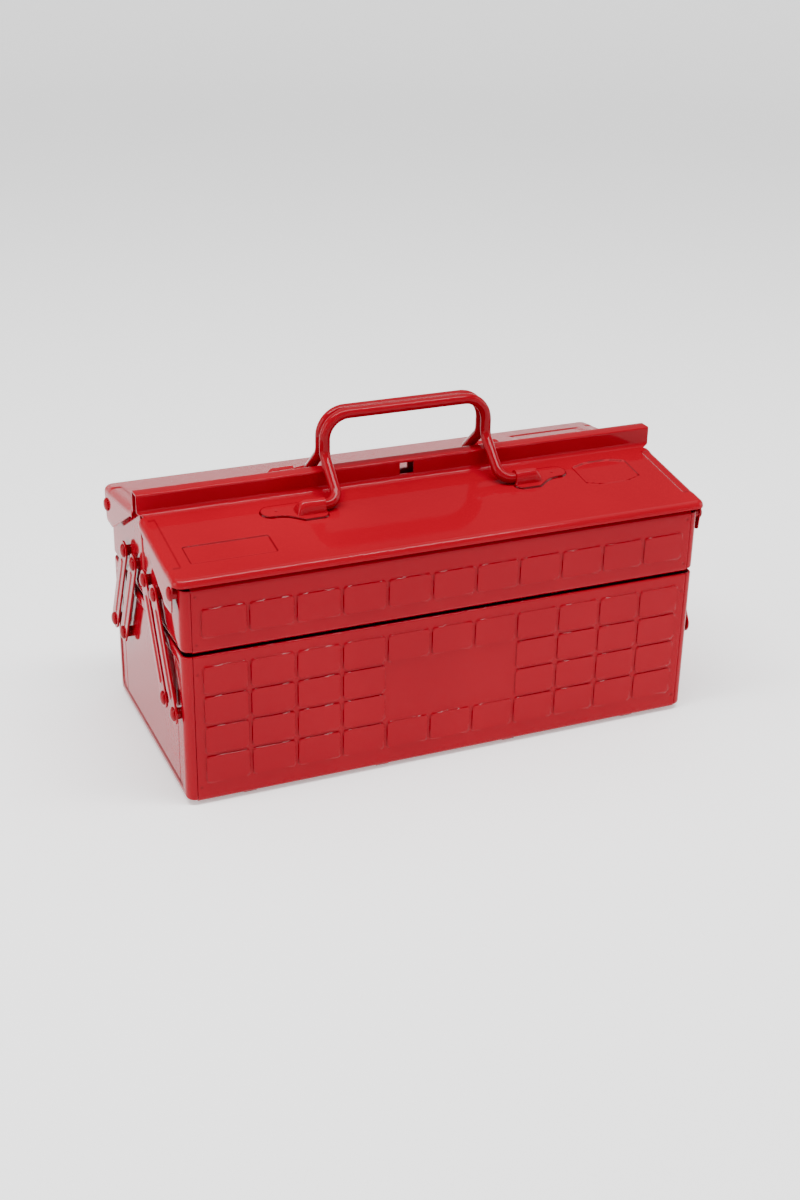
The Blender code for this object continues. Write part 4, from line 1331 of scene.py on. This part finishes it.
    def lower_edge(self, loop: np.ndarray, normal: np.ndarray) -> np.ndarray:
        """Height of the lower edge: skirt along the front, ear and taper along the ends.

        Args:
            loop: Border points.
            normal: Their outward normals.

        Returns:
            Height at each border point.
        """
        away = -loop[:, 1]
        skirt = loop[:, 2] - self.skirt
        outer = self.layout.lid_front - self.edge - self.inner_corner - self.ear_gap
        inner = outer - self.ear_width
        high = self.slope.height(self.taper_y) - self.taper_drop
        low = self.layout.ear_low
        rise = (high - low) / (inner - self.taper_y)
        taper = low + rise * np.maximum(inner - away, 0.0)
        taper = np.minimum(taper, high)
        near = np.clip(1.0 - (outer - away) / self.ear_round, 0.0, 1.0)
        ear = taper + self.ear_round * (1.0 - np.sqrt(1.0 - near * near))
        to_skirt = smooth((away - outer + self.ear_gap) / self.ear_fade)
        return np.where(square_on(normal), ear * (1 - to_skirt) + skirt * to_skirt, skirt)

    def rolled_edge(self, top: Patch) -> Patch:
        """Edges: a quarter circle out from the border, then straight down to the lower edge.

        Args:
            top: The flat.

        Returns:
            The edges in one grid.
        """
        loop, normal = self.border(top)
        angle = np.radians(np.linspace(0.0, 90.0, 11))[:, None]
        out = self.edge * np.sin(angle) * np.ones(len(loop))
        height = loop[None, :, 2] - self.edge * (1 - np.cos(angle))
        share = np.linspace(0.0, 1.0, 8)[1:, None]
        lower = self.lower_edge(loop, normal)[None, :]
        down = height[-1:] + (lower - height[-1:]) * share
        height = np.concatenate([height, down])
        out = np.concatenate([out, np.full(down.shape, self.edge)])
        flat = loop[None, :, :2] + normal[None, :, :] * out[:, :, None]
        return Patch(np.concatenate([flat, height[:, :, None]], axis=2))

    def flare(self, wall_y: float) -> np.ndarray:
        """Concave fillet from the slope up into a ridge wall: a quarter of an ellipse.

        Args:
            wall_y: Distance of the wall's face from the middle.

        Returns:
            Points (y, z).
        """
        start = self.slope.height(self.ridge_foot())
        end = self.slope.height(wall_y) + self.ridge_foot() - wall_y
        angle = np.radians(np.linspace(0.0, 90.0, 9))
        y = -self.ridge_foot() + (self.ridge_foot() - wall_y) * np.sin(angle)
        return np.stack([y, start + (end - start) * (1 - np.cos(angle))], axis=-1)

    def ridge_section(self) -> np.ndarray:
        """Section of the hood, or of the rear lid's upstand.

        Returns:
            Points (y, z), with a row at the foot, the middle and the top of the padlock hole.
        """
        lay = self.layout
        hole_top = lay.ridge_top - self.hole_drop
        hole_low = hole_top - self.hole_height
        levels = np.array([hole_low, hole_low + self.hole_middle, hole_top])
        y = lay.ridge_y
        if self.side is Side.REAR:
            y += self.upstand_gap + SHEET
        rising = np.stack([np.full(3, -y), levels], axis=-1)
        if self.side is Side.REAR:
            return np.concatenate([self.flare(y), rising, [(-y, lay.ridge_top - self.upstand_drop)]])
        r = self.top_radius
        over = turn((r - y, lay.ridge_top - r), r, 180, 90, 6)
        back = turn((y - r, lay.ridge_top - r), r, 90, 0, 6)
        falling = rising[::-1] * (-1.0, 1.0)
        lip_end = [(y, lay.ridge_top - self.lip)]
        return np.concatenate([self.flare(y), rising, over, back, falling, lip_end])

    def ridge(self, top: Patch) -> Patch:
        """Ridge: its section carried along X from the flat's rear edge, widening to the lid's ends.

        Args:
            top: The flat.

        Returns:
            The ridge, open at the padlock hole.
        """
        section = self.ridge_section()
        x = top.points[-1, :, 0]
        past = self.layout.lid_end / (self.layout.lid_end - self.edge) - 1.0
        widen = 1.0 + past * smooth(np.arange(len(section)) / 6.0)
        rows = np.broadcast_to(section[:, None, :], (len(section), len(x), 2))
        points = np.concatenate([(x[None, :] * widen[:, None])[:, :, None], rows], axis=2)
        top_z = self.layout.ridge_top - self.hole_drop + 1e-6
        low_z = top_z - self.hole_height - 2e-6
        middle_z = (section[1:, 1] + section[:-1, 1]) / 2
        upright = np.abs(section[1:, 0] - section[:-1, 0]) < 1e-6
        rows_cut = (middle_z < top_z) & (middle_z > low_z) & upright
        columns_cut = np.abs((x[1:] + x[:-1]) / 2) < self.hole_half
        return Patch(points, None, rows_cut[:, None] & columns_cut[None, :])

    def build(self) -> None:
        """Make the lid."""
        top = self.top()
        patches = [top, self.rolled_edge(top), self.ridge(top)]
        for patch in patches:
            patch.points = patch.points * self.side.mirror
        node = f"{self.side.word}_lid"
        inside = self.layout.inside(self.side, self.layout.tray_floor)
        add_piece(f"{node}_pressed", patches, node, node, SHEET_PAINT, inside, SHEET)


# ---------------------------------------------------------------- arms and rivets
@dataclass
class Arm:
    """One stamped arm with a long raised rib between its two pivots."""

    side: Side
    end: End
    rank: str
    inner: float = 0.1776
    half_width: float = 0.0065
    rib_margin: float = 0.0110
    rib_rise: float = 0.0007
    rib_foot: float = 0.0023
    plate: float = 0.0014
    ease: float = 0.0003

    def pivots(self) -> tuple[np.ndarray, np.ndarray]:
        """Foot and head pivots (y, z), from the rivets' boxes."""
        found = []
        for part in ("foot", "head"):
            low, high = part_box(f"{self.side.word}_{self.rank}_{part}_rivet_{self.end.word}")
            found.append(np.array([(low.y + high.y) / 2, (low.z + high.z) / 2]))
        return found[0], found[1]

    def rings(self) -> list[tuple[float, float, float]]:
        """Rings from the rib's middle to the edge and round to the back: spread, radius and height.

        Returns:
            For each ring its share of the way from the rib's ends to the pivots, its radius, and
            its height over the plate's inner face.
        """
        thick, top, foot = self.plate, self.plate + self.rib_rise, self.rib_foot
        outer = self.half_width - self.ease
        crown = ((0.0, 0.0), (0.0009, 0.0), (0.0013, 0.00005), (0.0016, 0.0002), (0.0018, 0.00045))
        rib = [(0.0, radius, top - drop) for radius, drop in crown]
        rib += [(0.0, 0.0020, thick + 0.0001), (0.0, foot, thick)]
        flat = [(share, foot + (outer - foot) * share, thick) for share in (0.15, 0.5, 1.0)]
        angle = np.radians(np.linspace(18.0, 90.0, 5))
        out, down = self.ease * np.sin(angle), self.ease * (1 - np.cos(angle))
        eased = [(1.0, outer + far, thick - low) for far, low in zip(out, down)]
        back = [(1.0, self.half_width, self.ease), (1.0, outer, 0.0), (0.5, 0.0030, 0.0), (0.0, 0.0, 0.0)]
        return rib + flat + eased + back

    def patches(self) -> list[Patch]:
        """All the rings: stadiums round a segment that grows from the rib to the pivots."""
        foot, head = self.pivots()
        along = (head - foot) / np.linalg.norm(head - foot)
        across = np.array([-along[1], along[0]])
        heading = np.radians(np.linspace(-90.0, 90.0, 25))
        cap = np.cos(heading)[:, None] * along + np.sin(heading)[:, None] * across
        side = np.linspace(0.0, 1.0, 18)[1:-1, None]
        rows, pooled = [], []
        for share, radius, height in self.rings():
            margin = along * self.rib_margin * (1 - share)
            upper = head - margin + radius * cap
            lower = foot + margin - radius * cap
            down = upper[-1] + (lower[0] - upper[-1]) * side
            up = lower[-1] + (upper[0] - lower[-1]) * side
            loop = np.concatenate([upper, down, lower, up, upper[:1]])
            x = np.full((len(loop), 1), self.end.value * (self.inner + height))
            rows.append(np.concatenate([x, loop], axis=1))
            # Painted shade: darker along the foot of the rib.
            pooled.append(np.full(len(loop), 0.9 if radius == self.rib_foot else 0.0))
        return [Patch(np.stack(rows), np.stack(pooled))]

    def build(self) -> None:
        """Make the arm."""
        stem = f"{self.side.word}_{self.rank}"
        node = f"{stem}_arm_{self.end.word}"
        add_piece(f"{node}_stamped", self.patches(), f"{stem}_arms", node, SHEET_PAINT)


@dataclass
class Rivet:
    """A shouldered rivet: domed head outside, shoulder as a spacer, upset tail inside."""

    node: str
    body: str
    shoulder_end: float
    head_height: float = 0.00225
    shank: float = 0.0020
    shoulder: float = 0.0036
    tail: float = 0.0030
    tail_reach: float = 0.0008
    shoulder_start: float = 0.0019
    crown_rim: float = 0.0002
    edge: float = 0.00012

    def profile(self, inner: float, outer: float, radius: float) -> np.ndarray:
        """Distance from the middle of the box, and radius, from the dome's crown to the tail.

        Args:
            inner: Tail's end.
            outer: Dome's crown.
            radius: Dome's radius.

        Returns:
            Array of shape (rows, 2).
        """
        seat = outer - self.head_height
        angle = np.radians(np.linspace(0.0, 90.0, 13))
        crown = seat + self.crown_rim + (self.head_height - self.crown_rim) * np.cos(angle)
        edge, shank, tail, shoulder = self.edge, self.shank, self.tail, self.shoulder
        high, low, upset = self.shoulder_end, inner + self.shoulder_start, inner + self.tail_reach
        rest = [
            (seat + edge, radius),
            (seat, radius - edge),
            (seat, shank),
            (high, shank),
            (high, shoulder - edge),
            (high - edge, shoulder),
            (low + edge, shoulder),
            (low, shoulder - edge),
            (low, shank),
            (upset, shank),
            (upset, tail - edge),
            (upset - edge, tail),
            (inner + edge * 3, tail),
            (inner + edge, tail - edge),
            (inner, tail - edge * 4),
            (inner, 0.0),
        ]
        return np.concatenate([np.stack([crown, radius * np.sin(angle)], axis=-1), rest])

    def build(self) -> None:
        """Make the rivet by turning its profile about its axis."""
        low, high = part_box(self.node)
        way = 1.0 if low.x > 0 else -1.0
        inner, outer = sorted((abs(low.x), abs(high.x)))
        profile = self.profile(inner, outer, (high.z - low.z) / 2)
        angle = np.radians(np.linspace(0.0, 360.0, 57))[None, :]
        radius = profile[:, 1:]
        y = (low.y + high.y) / 2 + radius * np.cos(angle)
        z = (low.z + high.z) / 2 + radius * np.sin(angle)
        x = np.broadcast_to(way * profile[:, :1], y.shape)
        # Painted shade: darker where the head seats on the sheet.
        seat = np.abs(profile[:, :1] - (outer - self.head_height)) < 1.5 * self.edge
        pooled = np.broadcast_to(np.where(seat, 0.8, 0.0), y.shape)
        turned = Patch(np.stack([x, y, z], axis=-1), pooled)
        add_piece(f"{self.node}_set", [turned], self.body, self.node, RIVET_PAINT)


# ---------------------------------------------------------------- handles and brackets
@dataclass
class Hinge:
    """A handle's axis and the plane of the lid below it.

    Attributes:
        side: Which half of the box it is on.
        slope: The lids' tops.
        away: Distance of the axis from the middle.
        rise: Height of the axis over the lid, square to it.
    """

    side: Side
    slope: Slope
    away: float = 0.0290
    rise: float = 0.0038

    def axis(self) -> Vector:
        """A point on the axis, in the middle plane."""
        height = self.slope.height(self.away) + self.rise * math.hypot(1.0, self.slope.fall)
        return Vector((0.0, self.side.value * self.away, float(height)))

    def uphill(self) -> Vector:
        """Unit vector up the lid's slope."""
        angle = math.atan(self.slope.fall)
        return Vector((0.0, -self.side.value * math.cos(angle), math.sin(angle)))

    def normal(self) -> Vector:
        """Unit vector square to the lid."""
        angle = math.atan(self.slope.fall)
        return Vector((0.0, self.side.value * math.sin(angle), math.cos(angle)))


@dataclass
class Handle:
    """One bent rod: two pivots, two raked legs, two upright cheeks and a straight grip."""

    hinge: Hinge
    radius: float = 0.0035
    pivot_end: float = 0.0830
    leg_x: float = 0.0560
    grip_y: float = 0.00368
    knee_rise: float = 0.0223
    grip_rise: float = 0.0487
    bends: Triple = (0.0090, 0.0100, 0.0160)

    def route(self) -> np.ndarray:
        """Centre line from one pivot's end to the other's."""
        base = self.hinge.axis()
        grip_y = self.hinge.side.value * self.grip_y
        low, knee, top = self.bends
        half = [
            (Vector((self.pivot_end, base.y, base.z)), 0.0),
            (Vector((self.leg_x, base.y, base.z)), low),
            (Vector((self.leg_x, grip_y, base.z + self.knee_rise)), knee),
            (Vector((self.leg_x, grip_y, base.z + self.grip_rise)), top),
        ]
        mirrored = [(Vector((-place.x, place.y, place.z)), bend) for place, bend in reversed(half)]
        return rounded_route(half + mirrored)

    def build(self) -> None:
        """Make the rod: a circle carried along the centre line, with eased, closed ends."""
        line = self.route()
        inset = self.radius * 0.25
        step = inset * (line[1:2] - line[:1]) / np.linalg.norm(line[1] - line[0])
        back = inset * (line[-2:-1] - line[-1:]) / np.linalg.norm(line[-2] - line[-1])
        start, end = line[:1], line[-1:]
        grip = np.linspace(0.15, 0.85, 8)[:, None]
        middle = len(line) // 2
        across = line[middle - 1] * (1 - grip) + line[middle] * grip
        between = [start + step, line[1:middle], across, line[middle:-1], end + back]
        line = np.concatenate([start, start, *between, end, end])
        heading = np.zeros_like(line)
        heading[1:-1] = line[2:] - line[:-2]
        heading[[0, 1, -2, -1]] = (-1.0, 0.0, 0.0)
        heading /= np.linalg.norm(heading, axis=1, keepdims=True)
        lean = np.array([0.0, 1.0, 0.0])
        first = lean - heading * (heading @ lean)[:, None]
        first = first / np.maximum(np.linalg.norm(first, axis=1, keepdims=True), 1e-6)
        second = np.cross(heading, first)
        size = np.full(len(line), self.radius)
        size[[0, -1]] = 0.0
        size[[1, -2]] = self.radius - inset
        angle = np.radians(np.linspace(0.0, 360.0, 41))[None, :, None]
        ring = first[:, None, :] * np.cos(angle) + second[:, None, :] * np.sin(angle)
        node = f"{self.hinge.side.word}_handle"
        rod = Patch(line[:, None, :] + ring * size[:, None, None])
        add_piece(f"{node}_bent", [rod], node, node, ROD_PAINT)


@dataclass
class Bracket:
    """A pressed plate with a tunnel over the handle's pivot and a spot-welded tab."""

    hinge: Hinge
    end: End
    start: float = 0.0640
    tab_high: float = 0.0118
    tab_low: float = -0.0100
    tab_round: float = 0.0055
    slant_foot: float = 0.0812
    slant_run: float = 0.0110
    waist_blend: float = 0.0040
    nose: Triple = (0.0995, 0.0050, 0.0068)
    plate: float = 0.0012
    tunnel_half: float = 0.0052
    tunnel_top: float = 0.0088
    tunnel_start: float = 0.0656
    tunnel_shoulder: float = 0.0786
    tunnel_end: float = 0.0846
    weld: Triple = (0.0958, 0.0047, 0.0014)
    weld_depth: float = 0.0005
    foot_blend: float = 0.0012
    sunk: float = 0.0004
    pitch: float = 0.00028

    def outline(self, u: np.ndarray, w: np.ndarray) -> np.ndarray:
        """Signed distance to the plate's outline: a tab, cut back on a slant, joined to a round nose.

        Args:
            u: Distances from the middle along the axis.
            w: Distances up the lid from the axis.

        Returns:
            The distance at each point, negative inside.
        """
        nose_u, nose_w, nose_r = self.nose
        half = ((nose_u - self.start) / 2 + 0.002, (self.tab_high - self.tab_low) / 2)
        middle = (self.start + half[0], (self.tab_high + self.tab_low) / 2)
        tab = rounded_box(u - middle[0], w - middle[1], half, self.tab_round)
        waist = nose_w - nose_r
        rise = waist - self.tab_low
        slant = (u - self.slant_foot) * rise - (w - self.tab_low) * self.slant_run
        slant = slant / math.hypot(self.slant_run, rise)
        blend = self.waist_blend
        near = np.clip(0.5 + 0.5 * (waist - w - slant) / blend, 0.0, 1.0)
        cut = slant * near + (waist - w) * (1 - near) - blend * near * (1 - near)
        body = np.maximum(np.maximum(tab, cut), u - nose_u)
        return np.minimum(body, np.hypot(u - nose_u, w - nose_w) - nose_r)

    def tunnel(self, u: np.ndarray, w: np.ndarray) -> np.ndarray:
        """Height of the tunnel: a fuller arch than an ellipse, open at one end, domed at the other.

        Args:
            u: Distances from the middle along the axis.
            w: Distances up the lid from the axis.

        Returns:
            The height at each point, 0 away from the tunnel.
        """
        across = np.clip(1.0 - np.abs(w / self.tunnel_half) ** 2.1, 0.0, 1.0) ** 0.5
        past = (u - self.tunnel_shoulder) / (self.tunnel_end - self.tunnel_shoulder)
        domed = np.sqrt(np.clip(1.0 - np.clip(past, 0.0, 1.0) ** 2.2, 0.0, 1.0))
        return self.tunnel_top * across * domed * smooth((u - self.tunnel_start) / 0.0004 + 0.5)

    def build(self) -> None:
        """Make the bracket as a height field over the lid, its skirt just sunk into the lid."""
        us = np.arange(self.start - 0.0006, self.nose[0] + self.nose[2] + 0.0006, self.pitch)
        ws = np.arange(self.tab_low - 0.0006, self.tab_high + 0.0008, self.pitch)
        u, w = np.meshgrid(us, ws, indexing="ij")
        distance = self.outline(u, w)
        plate = (self.plate + self.sunk) * press(distance + 0.0003, 0.0006) - self.sunk
        arch = self.tunnel(u, w)
        blend = np.clip(0.5 + 0.5 * (arch - plate) / self.foot_blend, 0.0, 1.0)
        fillet = self.foot_blend * blend * (1 - blend) * (distance < 0)
        height = plate * (1 - blend) + arch * blend + fillet
        weld_u, weld_w, weld_r = self.weld
        dish = smooth(1.0 - np.hypot(u - weld_u, w - weld_w) / weld_r)
        height = height - self.weld_depth * dish
        # Painted shade: darker round the plate's rim, along the tunnel's foot and in the weld dish, as a
        # contact shadow.
        foot_line = np.clip(1.0 - np.abs(blend - 0.35) / 0.35, 0.0, 1.0)
        rim = smooth(1.0 + (distance + 0.0004) / 0.0011)
        pooled = np.clip(0.55 * foot_line + rim + 0.5 * dish, 0.0, 1.0)
        origin = np.array(self.hinge.axis() - self.hinge.normal() * self.hinge.rise)
        uphill, normal = np.array(self.hinge.uphill()), np.array(self.hinge.normal())
        points = origin + w[..., None] * uphill + height[..., None] * normal
        points[..., 0] = self.end.value * u
        middle = (distance[1:, 1:] + distance[:-1, :-1]) / 2
        word = self.hinge.side.word
        node = f"{word}_handle_bracket_{self.end.word}"
        inside = Vector(tuple(origin - normal * 0.01)) + Vector((self.end.value * 0.082, 0.0, 0.0))
        patch = Patch(points, pooled, middle > 0.00045)
        add_piece(f"{node}_pressed", [patch], f"{word}_lid", node, SHEET_PAINT, inside)


# ---------------------------------------------------------------- studio
@dataclass
class Studio:
    """Pale seamless sweep, soft lights and the camera."""

    lens: float = 51.54
    place: Vector = field(default_factory=lambda: Vector((-0.4129, -0.9577, 0.5708)))
    azimuth: float = -23.28
    elevation: float = 25.43
    roll: float = 1.05
    flat: float = 2.7
    curve: float = 0.5
    height: float = 1.0
    glow: float = 0.4
    surroundings: float = 0.32

    def sweep(self) -> None:
        """Floor that curves up all round into a low backdrop, with a faint mottle."""
        bench = Bench("studio_paper")
        place = bench.add("ShaderNodeTexCoord", None, None, "Object")
        mottle = bench.noise(place, 3.0, 3.0)
        colour = bench.mix(mottle, (0.90, 0.90, 0.90, 1.0), (0.93, 0.93, 0.93, 1.0))
        bumps = {"Height": bench.noise(place, 700.0), "Strength": 0.03, "Distance": 0.0003}
        values = {
            "Base Color": colour,
            "Roughness": 0.85,
            "Normal": bench.add("ShaderNodeBump", None, bumps),
            "Emission Color": FULL_WHITE,
            "Emission Strength": self.glow,
        }
        bench.finish(bench.add("ShaderNodeBsdfPrincipled", None, values))
        flat, curve, far = self.flat, self.curve, self.flat + self.curve
        floor = run((0.0, 0.0), (flat, 0.0), np.linspace(0, 1, 12))
        bend = turn((flat, curve), curve, 270, 360, 16)[1:]
        wall = run((far, curve), (far, self.height), np.linspace(0.1, 1, 8))
        section = np.concatenate([floor, bend, wall])
        heading = np.radians(np.linspace(0.0, 360.0, 121))[None, :]
        radius = section[:, :1]
        z = np.broadcast_to(section[:, 1:], (len(section), heading.shape[1]))
        points = np.stack([radius * np.cos(heading), radius * np.sin(heading), z], axis=-1)
        mesh = mesh_of("studio_sweep", [Patch(points)])
        weld(mesh, None)
        shade(mesh)
        mesh.materials.append(bench.material)
        made = bpy.data.objects.new("studio_sweep", mesh)
        bpy.context.scene.collection.objects.link(made)

    def lamp(self, name: str, place: Triple, size: Pair, power: float) -> None:
        """Add one rectangular soft light, aimed at the box.

        Args:
            name: Name of the light.
            place: Where it hangs.
            size: Its width and height.
            power: Its power in watts.
        """
        data = bpy.data.lights.new(name, "AREA")
        data.shape = "RECTANGLE"
        data.size, data.size_y = size
        data.energy = power
        made = bpy.data.objects.new(name, data)
        aim = Vector((0.0, 0.0, 0.08)) - Vector(place)
        made.rotation_euler = aim.to_track_quat("-Z", "Y").to_euler()
        made.location = place
        made.visible_camera = False
        bpy.context.scene.collection.objects.link(made)

    def sky(self) -> None:
        """Even, dim surroundings, the same from every side."""
        world = bpy.data.worlds.new("studio_surroundings")
        world.use_nodes = True
        background = world.node_tree.nodes["Background"]
        background.inputs["Color"].default_value = FULL_WHITE
        background.inputs["Strength"].default_value = self.surroundings
        bpy.context.scene.world = world

    def camera(self) -> None:
        """Set the camera from its heading, height and roll."""
        az, el, ro = (math.radians(v) for v in (self.azimuth, self.elevation, self.roll))
        back = Vector((math.sin(az) * math.cos(el), -math.cos(az) * math.cos(el), math.sin(el)))
        right = Vector((math.cos(az), math.sin(az), 0.0))
        up = back.cross(right)
        turned = right * math.cos(ro) + up * math.sin(ro)
        raised = up * math.cos(ro) - right * math.sin(ro)
        data = bpy.data.cameras.new("studio_camera")
        data.lens = self.lens
        data.sensor_width = 36.0
        data.clip_start = 0.01
        made = bpy.data.objects.new("studio_camera", data)
        basis = Matrix((turned, raised, back)).transposed().to_4x4()
        made.matrix_world = Matrix.Translation(self.place) @ basis
        bpy.context.scene.collection.objects.link(made)
        bpy.context.scene.camera = made

    def build(self) -> None:
        """Set the whole studio up."""
        self.sweep()
        self.sky()
        self.lamp("overhead", (0.1, 0.6, 2.6), (4.0, 2.6), 42.0)
        self.lamp("top_box", (-0.1, -0.32, 1.7), (2.0, 0.35), 50.0)
        self.lamp("left_fill", (-2.1, 0.1, 0.9), (1.2, 1.4), 26.0)
        self.lamp("right_fill", (1.9, -0.6, 0.9), (0.9, 1.2), 12.0)
        self.camera()


# ---------------------------------------------------------------- the whole box
ARM_SHOULDER = 0.17745
LID_SHOULDER = 0.17805


def rivets() -> list[Rivet]:
    """Every rivet: the arms' feet in the base, their heads and the lids' pivots in the trays."""
    found = []
    for side in Side:
        tray = f"{side.word}_tray"
        for end in End:
            for rank in ("outer", "inner"):
                stem = f"{side.word}_{rank}"
                found.append(Rivet(f"{stem}_foot_rivet_{end.word}", "base", ARM_SHOULDER))
                found.append(Rivet(f"{stem}_head_rivet_{end.word}", tray, ARM_SHOULDER))
            found.append(Rivet(f"{side.word}_lid_rivet_{end.word}", tray, LID_SHOULDER))
    return found


def main() -> None:
    """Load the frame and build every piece."""
    logging.basicConfig(level=logging.INFO, format="%(message)s")
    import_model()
    layout = Layout.measure()
    slope = Slope()
    BaseSheet(layout).build()
    for end in End:
        BaseEnd(layout, end).build()
    for side in Side:
        TraySheet(layout, side).build()
        Lid(layout, side, slope).build()
        hinge = Hinge(side, slope)
        Handle(hinge).build()
        for end in End:
            TrayEnd(layout, end, side=side, slope=slope).build()
            Bracket(hinge, end).build()
            for rank in ("outer", "inner"):
                Arm(side, end, rank).build()
    for rivet in rivets():
        rivet.build()
    Studio().build()


if __name__ == "__main__":
    main()
